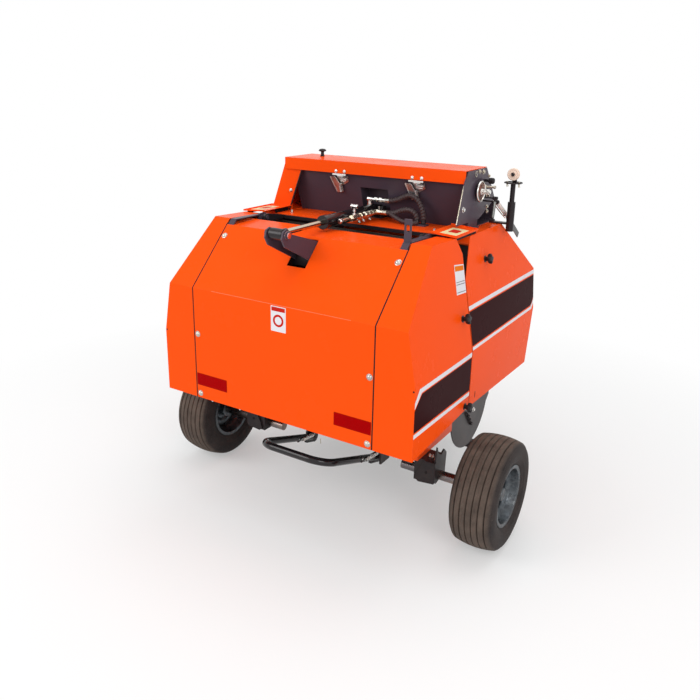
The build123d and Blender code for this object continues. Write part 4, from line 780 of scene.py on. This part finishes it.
# ---- valve line on the cylinder ----
LINE_X = 36.5         # the valve line runs beside the barrel
LINE = (LINE_X, 0, CYLINDER_Z)
line_body = stack(
    LINE, FORWARD, (330.5, 387, 6.2, 24), (386, 393, 8.8, 6), (392, 441, 10.8, 24), (400, 429, 11.8, 6),
    (440, 456, 9.8, 6), (455, 472, 10.9, 24), (471, 486, 9.4, 6), (485, 505, 11, 24), (504, 515, 9, 24),
    (514, 533, 10.7, 6), (532, 540, 8.4, 24), (539, 556, 9.8, 6), (555, 568, 8, 24))
line_body += stack((28, 575, CYLINDER_Z), RIGHT, (0, 8.5, 8.5, 24), (8, 22, 9.6, 6), (21.5, 30, 8.4, 24))
build("valve_line", line_body, pale_brass, BARREL, smooth=30, replaces=["lock_valve"])
fittings = [
    *stack(LINE, FORWARD, (317.5, 331.5, 9.6, 6), (315, 318, 7, 20)),
    *stack((LINE_X, 416, CYLINDER_Z), UP, (9.5, 15, 7.5, 6), (14.5, 22.5, 4.6, 20), (22, 26, 6.2, 20),
           (25.5, 33, 4.2, 20)),
    *stack((22.5, 416, 1158), RIGHT, (0, 28, 6.2, 20), (2, 6, 7.2, 20), (22, 26, 7.2, 20)),
    *stack((0, 588, CYLINDER_Z), UP, (21.5, 31, 9.4, 6), (30.5, 40, 7, 24), (39.5, 51.5, 8, 6)),
    *stack((0, 588, 1161), RIGHT, (-9, 12, 8.6, 24), (11.5, 20, 6.8, 24), (19.5, 33, 9.4, 6), (32.5, 41, 7.2, 24),
           (40.5, 53, 9.4, 6), (52.5, 60.5, 6.6, 24)),
    *stack((0, 575, CYLINDER_Z), RIGHT, (46.5, 57.5, 8.8, 6))]
for y, z in ((448, 1101), (478, 1101.5), (523, 1100.5)):
    fittings += stack((LINE_X, y, z), (0.6, 0, -0.8), (0, 6, 5, 6), (5.5, 9, 3, 16))
fittings += stack((LINE_X, 596, CYLINDER_Z), UP, (0, 14, 3.4, 16), (13, 17.5, 4.8, 6))
build("valve_fittings", fittings, bright_zinc, BARREL, smooth=30)
clips = [plate(oblong(14, 14), (17, y, CYLINDER_Z), FORWARD, UP, 20) for y in (331, 552)]
build("line_clips", clips, gloss_black, BARREL, bevel=0.8)

# ---- net brake, on the box's right-hand end plate ----
END_X = 399
BRAKE = np.array((END_X, 665, 1216))
coil = coil_path(BRAKE + (17, 0, 0), BRAKE + (40, 0, 0), 8.5, 5, 16)
brake = [turned(oval(12.5, 35, 3.4, 3, 12), BRAKE, RIGHT, 64, loop=True),
         *stack(BRAKE, RIGHT, (9, 17, 12.5, 6), (16.5, 25, 8.5, 24)), tube(coil, 1.2, 8),
         *stack(BRAKE, RIGHT, (39.5, 42.5, 10, 24), (42, 48, 7.8, 6))]
build("net_brake_wheel", brake, chrome, smooth=40, replaces=["net_brake"])
dish = [(7.5, 10), (7.5, 24), (10.5, 32.5), (12.5, 33.5), (12.5, 32), (11.8, 24), (15, 19), (15, 10)]
build("net_brake_disc", [turned(dish, BRAKE, RIGHT, 56, loop=True)], brake_lining)
build("net_brake_hub", stack(BRAKE, RIGHT, (0.2, 8, 10.5, 24)), black_paint)
end_bolts = bolts(hex_bolt, RIGHT, (END_X, 669, 1284, 5.2), (END_X, 705, 1280, 6), (END_X, 764.2, 1260.2, 4.5),
                  (END_X, 761.5, 1148.4, 5.2), (END_X, 765, 1131, 5.2))
end_bolts += stack((END_X, 712, 1228), RIGHT, (0, 4, 9, 24), (4, 14, 7.2, 6), (14, 42, 4.5, 20), (41, 48, 6.5, 6))
end_bolts += stack((END_X, 710, 1205), RIGHT, (0, 10, 6.8, 6), (10, 23, 4, 20))
end_bolts += stack((END_X, 735, 1193), RIGHT, (0, 9, 6, 6), (9, 19, 3.6, 20))
build("end_plate_bolts", end_bolts, brass_zinc)
build("end_plate_big_bolt", hex_bolt((END_X, 543.7, 1164.2), RIGHT, 7), bright_zinc)
# A brass-coloured bar along the end plate's rear edge: the bare edge, with its bright reflection painted on as a
# painted highlight.
bare_edge_highlight = tube([(396.5, 541.2, 1244.5), (396.5, 519, 1178), (396.5, 499, 1118)], 2, 10, RIGHT)
build("end_plate_edge", [bare_edge_highlight], brass_zinc)
build("end_plate_rings", [flat_ring((END_X + 0.2, 640, 1278), RIGHT, 1.6, 10.5, 7, 32)], zinc)


LINK_X = 450          # plane of the struts and the rod


def strut(foot, head, radius, collar):
    """Gas strut between two eyes at places (y, z): its tube, then its end collars with the eyes' rings."""
    foot, head = np.array((LINK_X, *foot)), np.array((LINK_X, *head))
    run, length = head - foot, np.linalg.norm(head - foot)
    fitted = stack(foot, run, (-4, 12.5, collar, 24), (length - 10.5, length + 2, collar, 24), hint=RIGHT)
    for end in (foot, head):
        fitted += stack(end - (9, 0, 0), RIGHT, (0, 18, collar + 1.5, 24))
    return stack(foot, run, (12, length - 10, radius, 28), hint=RIGHT), fitted


white_body, white_ends = strut((724, 1175), (835, 1114), 7.8, 5.5)
grey_body, grey_ends = strut((708, 1190), (694, 1112), 6, 4.8)
build("strut_white", white_body, white_plastic)
build("strut_grey", grey_body, dull_steel)
build("strut_ends", [*white_ends, *grey_ends, *stack((END_X, 708, 1190), RIGHT, (0, 60, 2.6, 16)),
                     *stack((END_X, 724, 1175), RIGHT, (0, 62, 3, 16))], black_paint)
brake_rod = tube([(LINK_X, y, z) for y, z in ((718, 1160), (772, 1130), (826, 1102))], 1.9, 10, RIGHT)
build("brake_rod", [brake_rod], brass_zinc)
grip = [(0, 5), (16, 5), (16.5, 8.5), (18.5, 10.8), (23, 11.3), (33, 10.8), (35.5, 8.5), (36, 0)]
build("brake_grip", [turned(grip, (END_X, 725, 1248), RIGHT, 40)], black_plastic)

# ---- guide pulley and its post, lid knob ----
PULLEY = (480, 788, 1269)
sheave = [(0, 4.5), (0, 7.5), (-1, 8), (-1, 10), (0.4, 10.8), (0.4, 16.5), (-0.4, 17.5), (-0.4, 21.2), (0.6, 22),
          (1.6, 22), (3, 19.6), (4.4, 18.4), (7.6, 18.4), (9, 19.6), (10.4, 22), (11.4, 22), (12, 21.2), (12, 4.5)]
build("cream_pulley", [turned(sheave, PULLEY, FORWARD, 72, loop=True)], cream_plastic, "pulley", smooth=30,
      replaces=["guide_pulley"])
build("pulley_bolt", stack(PULLEY, BACK, (1.2, 3, 6.8, 24), (2.6, 6.6, 5.2, 6)), black_paint)
build("fork_flange", [turned([(0, 30.5), (0.8, 31), (4, 31), (4.8, 30.5)], (480, 800, 1236.2), UP, 56)], black_paint)
brace = [(792, 1105), (800, 1125), (947, 1030), (934, 1012), (830, 1080)]
build("post_brace", [plate(rounded(brace, 3), (466, 0, 0), FORWARD, UP, 3)], gloss_black, bevel=0.4, slot="black_paint")
build("post_brace_pin", stack((462, 800, 1114), RIGHT, (0, 4, 5.8, 6), (0, 12, 4, 20)), bright_zinc)
fork_pins = [tube([(x, 790, 1244), (x, 790, 1230), (x + out, y, z)], 1.6, 8, RIGHT) for x, out, y, z in
             ((459, 1.5, 788.5, 1223), (462.5, 2.5, 790, 1225), (503, 1.5, 788.5, 1223), (506.5, 2.5, 790, 1225))]
build("fork_pins", fork_pins, brass_zinc)
mushroom = [(0.2, 10), (2, 10), (3, 7), (16, 6.2), (18.5, 8), (19.5, 13.5), (21, 15), (23.5, 15), (26.5, 12.8),
            (28.5, 8.5), (29.7, 0)]
build("lid_pull", [turned(mushroom, (-280, 680, 1295), UP, 40)], black_plastic, "lid", replaces=["lid_knob"])

# ---- reflectors, bands and labels ----
CAP_FRONT = 429.5
CAP_REAR = 0.6
COVER_REAR = 437
FILM_DEPTH = 0.3
SIDES = ((-1, "left"), (1, "right"))


def side_at(z):
    """Half width of the side covers at a height."""
    return SIDE_X - LEAN * np.maximum(0, np.asarray(z) - FOLD_Z)


def patch(outline, side, lift=0.2):
    """Thin patch on a side cover: (y, z) goes to x = side (face at z + lift), and again a film's depth further out."""
    yz = np.asarray(outline, float)
    x = side_at(yz[:, 1])
    return closed(np.stack([np.column_stack([side * (x + out), yz]) for out in (lift, lift + FILM_DEPTH)]))


def nose_at(z):
    """The side cover's front edge at a height under its nose, as a place (y, z)."""
    return 1114 - 40 * (857 - z) / 138 - 0.8, z


build("reflectors", both([plate(oblong(140, 46, 2), (298, -0.2, 539), RIGHT, UP, 1)]), reflector, TAILGATE, bevel=0.3)
cap_band = [(CAP_REAR, 563.5), (CAP_FRONT, 556.5), (CAP_FRONT, 678), (46.5, 680.5), (CAP_REAR, 638)]
cap_stripes = [[(CAP_REAR, 643.5), (44, 685), (CAP_FRONT, 682), (CAP_FRONT, 698), (30, 701), (CAP_REAR, 664)],
               [(CAP_REAR, 544), (CAP_FRONT, 536.5), (CAP_FRONT, 550.5), (CAP_REAR, 558)]]
cover_band = [(COVER_REAR, 718), (1041, 718.5), nose_at(743), nose_at(832), (COVER_REAR, 837)]
cover_stripes = [[(COVER_REAR, 842), nose_at(837), nose_at(852), (COVER_REAR, 856)],
                 [(COVER_REAR, 702.5), (1044, 702.5), nose_at(723), nose_at(738), (1038, 713.5), (COVER_REAR, 713)]]
for side, name in SIDES:
    for label, outlines, finish, body in (
            ("cap_band_", [cap_band], band_film, TAILGATE), ("cap_stripes_", cap_stripes, white_film, TAILGATE),
            ("cover_band_", [cover_band], band_film, MACHINE), ("cover_stripes_", cover_stripes, white_film, MACHINE)):
        build(label + name, [patch(outline, side) for outline in outlines], finish, body)
for name, corners, lift, finish in (("rear_label", (-25, 36, 792, 879), 0.1, white_film),
                                    ("rear_label_head", (-22, 33, 862, 876), 0.4, red_film)):
    build(name, [plate(rounded(box_outline(*corners), 2), (0, -lift, 0), RIGHT, UP, FILM_DEPTH)], finish, TAILGATE)
build("rear_label_ring", [flat_ring((5.5, -0.4, 830), BACK, FILM_DEPTH, 21.5, 14, 40)], red_film, TAILGATE)
# Dark strips that fill the gaps between the rear plate and the caps, lapping onto both edges: painted shade in the
# gaps.
seam_gap_shade = [(-0.2, 465.5), (-0.2, 883.1), (198.8, 1085.6), (319, 1085.6), (315, 1083), (199.9, 1083), (2.4, 882),
        (2.4, 466.5)]
build("seam_linings", both([plate(seam_gap_shade, (370.4, 0, 0), FORWARD, UP, 4.6)]), dark_hole, TAILGATE)
# A thin pale orange bar along the rear fold: a painted highlight where the fold catches the light.
fold_highlight_line = tube([(-285, 0.2, 883.5), (0, 0.2, 883.5), (285, 0.2, 883.5)], 0.9, 8)
build("rear_fold_crease", [fold_highlight_line], worn_orange, TAILGATE)
build("cap_label_right", [patch([(353, 914), (427, 908), (427.5, 1004), (354, 1014)], 1)], white_film, TAILGATE)
build("cap_label_head_right", [patch([(356.5, 992), (423.5, 985), (424, 1000.8), (357, 1009.5)], 1, 0.5)], amber_film,
      TAILGATE)
rules = [patch([(357, z), (424, z - 5.5), (424, z - 7.5), (357, z - 2)], 1, 0.5) for z in (956, 948, 922)]
build("cap_label_rules_right", rules, charcoal_paint, TAILGATE)


# ---- trays over the hinges ----
TRAY = (349, 452.5, 384.5, 565)
TRAY_LOW = 1103.5     # underside at the inner edge
TRAY_LEAN = 0.068     # fall of z for each length outwards


def flat_bar(x_from, x_to, y_from, y_to, low, high):
    """Level bar between two heights."""
    return plate(box_outline(x_from, x_to, y_from, y_to), (0, 0, low), RIGHT, FORWARD, high - low)


def tray_pieces(shells):
    """Both sides' shells, sheared so that z falls by TRAY_LEAN with the distance from the inner edge."""
    return both([(points - np.outer(TRAY_LEAN * (points[:, 0] - TRAY[0]), UP), faces) for points, faces in shells])


def shade_sheet_between(foot, head):
    """Dark sheet across a side cover's open rear edge between two (y, z) places, out to the leaning face: painted shade
    of the cover's inside.
    """
    inner = 374.6
    (y, z), (far_y, far_z) = foot, head
    corners = np.array([(inner, y, z), (side_at(z) - 2.3, y, z), (side_at(far_z) - 2.3, far_y, far_z),
                        (inner, far_y, far_z)])
    return closed(np.stack([corners, corners + (0, 1.4, 0)]))


trays = [flat_bar(*TRAY, TRAY_LOW, TRAY_LOW + 2), flat_bar(TRAY[1] - 2, *TRAY[1:], TRAY_LOW, TRAY_LOW + 6),
         flat_bar(*TRAY[:3], TRAY[2] + 2, TRAY_LOW, TRAY_LOW + 6),
         flat_bar(*TRAY[:2], TRAY[3] - 2, TRAY[3], TRAY_LOW, TRAY_LOW + 6.4)]
build("guard_trays", tray_pieces(trays), orange_paint, bevel=0.4, replaces=["hinge_guards"])
# Dark sheets under the trays and across the covers' open edges: painted shade.
shade_sheets = [shade_sheet_between((436.6, 800), (436.6, 950)), shade_sheet_between((436.6, 950), (505, 1082.6)),
           flat_bar(442.5, 444, 399, 506, 1085.2, TRAY_LOW - 6.8),
           flat_bar(442.5, 444, 506, 564, 1085.2, TRAY_LOW - 6.8),
           flat_bar(362.7, 368.7, 480, 559, 1085, TRAY_LOW - 1.5)]
build("tray_screens", both(shade_sheets), dark_hole, slot="black_paint")
for name, outline, y, lift, finish in (("guard_labels", oblong(60, 110, 3), 465, 2.1, cream_film),
                                       ("guard_label_marks", oblong(34, 50, 8), 469, 2.4, red_film)):
    build(name, tray_pieces([plate(outline, (407, y, TRAY_LOW + lift), RIGHT, FORWARD, FILM_DEPTH)]), finish)
frame_strip = tube([(-298.5, 564, 1252), (-330, 564, 1168), (-360, 564, 1086)], 3.2, 10, FORWARD)
build("box_frame_strip", [frame_strip], black_paint)


# ---- knobs ----
def star_knob(y, z, side):
    """Four-lobed clamping knob: radius r + 3.6 lobe cos 4t for rows (s, r, lobe), thinned towards the cover."""
    foot = np.array((float(side_at(z)), y, z))
    lateral, lift, out = axes_of((1, 0, LEAN if z > FOLD_Z else 0))
    t = np.arange(48) * 2 * np.pi / 48
    rows = np.array([(10, 9, 0), (13, 14, 0.45), (16, 15, 0.9), (23, 15, 1), (26, 13.4, 0.9), (27.5, 9, 0.4),
                     (27.5, 0, 0)])[:, :, None]
    reach = rows[:, 1] + 3.6 * rows[:, 2] * np.cos(4 * t)
    points = foot + rows[:, :1] * out + reach[:, :, None] * circle(lateral, lift, 48)
    shells = [closed(points), turned([(0, 12), (1.5, 12), (2, 7.5), (11, 7.5)], foot, out, 24)]
    return shells if side > 0 else mirrored(shells)


cap_knobs = [shell for side, _ in SIDES for y, z in ((380, 828), (398, 506)) for shell in star_knob(y, z, side)]
build("cap_star_knobs", cap_knobs, black_plastic, TAILGATE, replaces=["cap_knobs"])
build("cover_star_knobs", star_knob(616, 986.5, -1) + star_knob(616, 986.5, 1), black_plastic,
      replaces=["cover_knobs"])


# ---- wheels ----
GROOVES = (-54.5, -32.5, -10.8, 10.8, 32.5, 54.5)
FINE_GROOVES = (-21.8, 0, 21.8)


def other_half(rows):
    """A profile's rows (s, r) on the other side of its middle, in the order that carries the profile on."""
    return [(-s, r) for s, r in reversed(rows)]


def tyre_profile():
    """Closed tyre section (x, r): crowned tread cut by grooves, round walls with moulded rings, beads."""
    x = np.linspace(-66.5, 66.5, 134)
    depth = sum(np.clip(1.25 - np.abs(x - centre) / 2.1, 0, 1) for centre in GROOVES)
    fine = sum(0.12 * np.clip(1 - np.abs(x - centre) / 1.2, 0, 1) for centre in FINE_GROOVES)
    tread = np.column_stack([x, 203 - 9 * (x / 68.5) ** 2 - 6.5 * np.clip(depth + fine, 0, 1)])
    # wall: quadratic through shoulder, widest point and bead, with three rings
    a = np.linspace(0, 1, 40)[1:-1, None]
    wall = (1 - a) ** 2 * (68.5, 193.5) + 2 * a * (1 - a) * (95.5, 160) + a ** 2 * (66.2, 112.7)
    wall[:, 0] += sum(high * np.exp(-((wall[:, 1] - r) / wide) ** 2)
                      for high, r, wide in ((1.1, 183, 1.6), (1.1, 136, 3), (0.77, 121, 1.4)))
    half = [*wall.tolist(), (66.2, 112.7), (66.2, 102)]
    return other_half(half) + tread.tolist() + half


FLANGE = [(69.5, 112.6), (69, 113.4), (67.6, 113.6), (66.6, 112.6), (66.8, 106), (65.5, 103), (63, 101.4), (40, 100.2)]
LIP = [(-69.4, 105), (-68, 100.6), (-64.5, 98.6), (-41, 97.4)]
BARREL_RING = [*FLANGE, (35, 97), (30, 90), (24, 87.8), (-14, 87.8), (-24, 91), (-34, 97), *other_half(FLANGE), *LIP,
               (-36, 94.5), (-25.5, 88.2), (-14, 85), (24, 85), (31.5, 87.2), (37, 94.5), *other_half(LIP)]
DISC = [(0, 84.9), (-11, 84.9), (-16.5, 83), (-19.5, 78), (-20, 69), (-18, 60), (-13, 52), (-10, 47), (-9.5, 33.5),
        (-6, 33.5), (-6.2, 48), (-9.5, 53.8), (-14.2, 61.5), (-16, 69.5), (-15.5, 76.5), (-13, 80), (-9, 81.6),
        (0, 81.6)]
HUB = [(-45, 15.2), (-45, 32), (-44, 34), (-10, 34), (30, 34), (32, 33), (32.5, 29), (34, 27), (34, 15.2)]
WELDS = (oval(-6.2, 34.2, 2, 2, 8), oval(0, 84.3, 1.6, 1.6, 8))
HUB_CAP = [(33.5, 26.2), (35, 26.8), (37, 26.2), (45, 25), (49, 21.5), (50.5, 12), (50.5, 0)]


def make_wheel(side, name):
    """Ribbed implement tyre on a galvanised rim with a deep dished disc, hub, cap and valve."""
    body = "wheel_" + name
    centre, out = WHEEL * np.array((side, 1, 1)), (side, 0, 0)
    build("ribbed_tyre_" + name, [turned(tyre_profile(), centre, out, 180, loop=True)], rubber, body, smooth=50,
          replaces=["tyre_" + name])
    rings = [turned(profile, centre, out, 120, loop=True) for profile in (BARREL_RING, DISC, HUB, *WELDS)]
    build("galvanised_rim_" + name, rings, galvanised, body, smooth=40, replaces=["rim_" + name])
    build("hub_cap_" + name, [turned(HUB_CAP, centre, out, 48)], galvanised, body, slot="zinc")
    hole = centre + (0, -52, -48)
    # The valve hole is a dark disc: painted shade in place of the opening.
    build("valve_hole_" + name, [turned([(0, 8.5), (0.8, 8.5)], hole - (side * 15, 0, 0), out, 24)], dark_hole, body)
    stem = tube([hole + (side * x, drop, drop) for x, drop in ((-15, 0), (4, -3), (20, -7))], [4.8, 4, 3.2], 16)
    build("valve_stem_" + name, [stem], hose_rubber, body, slot="")


for side, name in SIDES:
    make_wheel(side, name)


# ---- kicker springs, axle clamps and pickup details ----
def tension_spring(start, end, radius=5.2, wire=1.1, turns=24):
    """Close-wound spring: a helix between two hooks, each a three-quarter ring of the same wire."""
    start, end = np.array(start), np.array(end)
    side, lift, along = axes_of(end - start)
    a = np.linspace(0.25 * np.pi, 1.75 * np.pi, 14)[:, None]
    hooks = []
    for eye, turn in ((start, 1), (end, -1)):
        centre = eye + turn * radius * 0.2 * along
        hooks.append(tube(centre - turn * radius * (np.cos(a) * along * -1 + np.sin(a) * lift), wire, 8, side))
    reach = 1.25 * radius * along
    return hooks + [tube(coil_path(start + reach, end - reach, radius, turns, 12), wire, 8, side)]


SPRINGS = {"right": ((172, 315, 226.2), (172, 411, 215.5)), "left": ((-130, 326.4, 217.6), (-130, 411.3, 206.7))}
EAR = [(-14, -10), (10, -10), (10, 4), (-4, 12), (-14, 12)]
tabs, tab_bolts = [], []
for name, (start, end) in SPRINGS.items():
    bend = (MACHINE, "kicker_body", tuple(placed(end).tolist()), tuple(placed(start).tolist()))
    build("kicker_spring_" + name, tension_spring(start, end), bright_zinc, bend)
    tabs.append(plate(rounded(EAR, 3), np.array(start) + (-12, -2, 2), FORWARD, UP, 3.5))
    tab_bolts += dome_bolt(np.array(start) + (-8.5, -9, 6), RIGHT, 3.6, 2.6)
build("spring_tabs", tabs, black_paint, "kicker_body")
build("spring_tab_bolts", tab_bolts, bright_zinc, "kicker_body")
build("cotter_pin", [tube([(-137, 470, 160), (-136.5, 470.2, 150), (-136, 470.5, 139)], 1.6, 8, RIGHT)], brass_zinc)
build("clamp_bolts", both(bolts(lock_nut, UP, (393, 404, 272, 5.2), (405.7, 402, 272, 5.2), (423.9, 388.6, 272, 5.2))),
      bright_zinc)
# The clamp holes are dark discs: painted shade in place of the openings.
build("clamp_holes", both([turned([(-0.4, 5.6), (0.6, 5.6), (0.7, 4)], (402.3, 358, 226.9), BACK, 24)]), dark_hole)
lip_bolts = bolts(lock_nut, (0, 0, -1), (-310, 12, 465.2, 5), (-180, 12, 465.2, 5), (458, 12, 465.2, 5))
build("lip_bolts", lip_bolts, bright_zinc, TAILGATE)
build("shield_bolts", both(bolts(hex_bolt, RIGHT, (365, 878.7, 272.7, 7), (365, 970, 320, 7))), bright_zinc)
chain = []
chain_run = unit((0, 54.7, -71))
for step, (y, z) in enumerate(np.linspace((802.3, 285), (857, 214), 7)):
    centre = np.array((368 + 4 * (step % 2), y, z))
    chain.append(plate(oblong(19, 9.5, 4), centre, chain_run, np.cross(RIGHT, chain_run), 2))
    chain += stack(centre - (3, 0, 0), RIGHT, (0, 10, 3.4, 14))
build("shield_chain", both(chain), black_paint)
# The cover slots are dark patches: painted shade in place of the openings.
slots = [patch([(483.5, 509), (487.2, 509), (488.2, 532.5), (484.5, 532.5)], side) for side, _ in SIDES]
build("cover_slots", slots, dark_hole)
# The drill holes are dark dots: painted shade in place of the openings.
build("cap_drill_holes", both([turned([(-0.2, 3), (0.4, 3)], (510.8, 0, 700.5), BACK, 18)]), dark_hole, TAILGATE)


# ---- floor, backdrop and lights ----
def studio_floor():
    """Pale floor that keeps the shadow near the machine and fades to the white backdrop further out."""
    mesh = bpy.data.meshes.new("floor")
    mesh.from_pydata([(-30, -30, 0), (30, -30, 0), (30, 30, 0), (-30, 30, 0)], [], [(0, 1, 2, 3)])
    floor = bpy.data.objects.new("floor", mesh)
    scene.collection.objects.link(floor)
    material, t, shader = blank("floor_white", Roughness=0.9, Base_Color=(0.86, 0.86, 0.86, 1), Specular_IOR_Level=0.1)
    away = t.vector("LENGTH", t.place)["Value"]
    plain = t.add("Emission", {"Color": WHITE, "Strength": 1.0}).outputs[0]
    share = t.times(t.remap(away, 1.0, 2.4, 0.35, 1.0), t.seen())
    mixed = t.add("MixShader", {0: share, 1: shader.outputs[0], 2: plain}).outputs[0]
    t.wire(t.tree.nodes["Material Output"].inputs, {"Surface": mixed})
    mesh.materials.append(material)


def studio_world():
    """White for what the camera and gloss see; a softer sky, brighter overhead, for the light it gives."""
    world = bpy.data.worlds.new("studio")
    scene.world = world
    world.use_nodes = True
    t = Nodes(world.node_tree)
    sky = t.remap(t.parts(t.place.node.outputs["Generated"])["Z"], -0.2, 0.9, 0.42, 0.75)
    level = t.mix_value(t.seen(), sky, 1.0)
    t.wire(t.tree.nodes["Background"].inputs, {"Color": WHITE, "Strength": level})


def soft_light(name, place, size, power, target=(0, 0, 0.6)):
    """Square area lamp that looks at the machine."""
    data = bpy.data.lights.new(name, "AREA")
    data.size = size
    data.energy = power
    lamp = bpy.data.objects.new(name, data)
    scene.collection.objects.link(lamp)
    lamp.location = place
    lamp.rotation_euler = (Vector(target) - Vector(place)).to_track_quat("-Z", "Y").to_euler()


studio_floor()
studio_world()
soft_light("behind_left", (-2.6, -3.6, 3.0), 2.4, 74)
soft_light("behind_right", (3.4, -2.6, 2.6), 2.0, 52)
soft_light("overhead", (0.3, 0.6, 4.2), 3.0, 50)
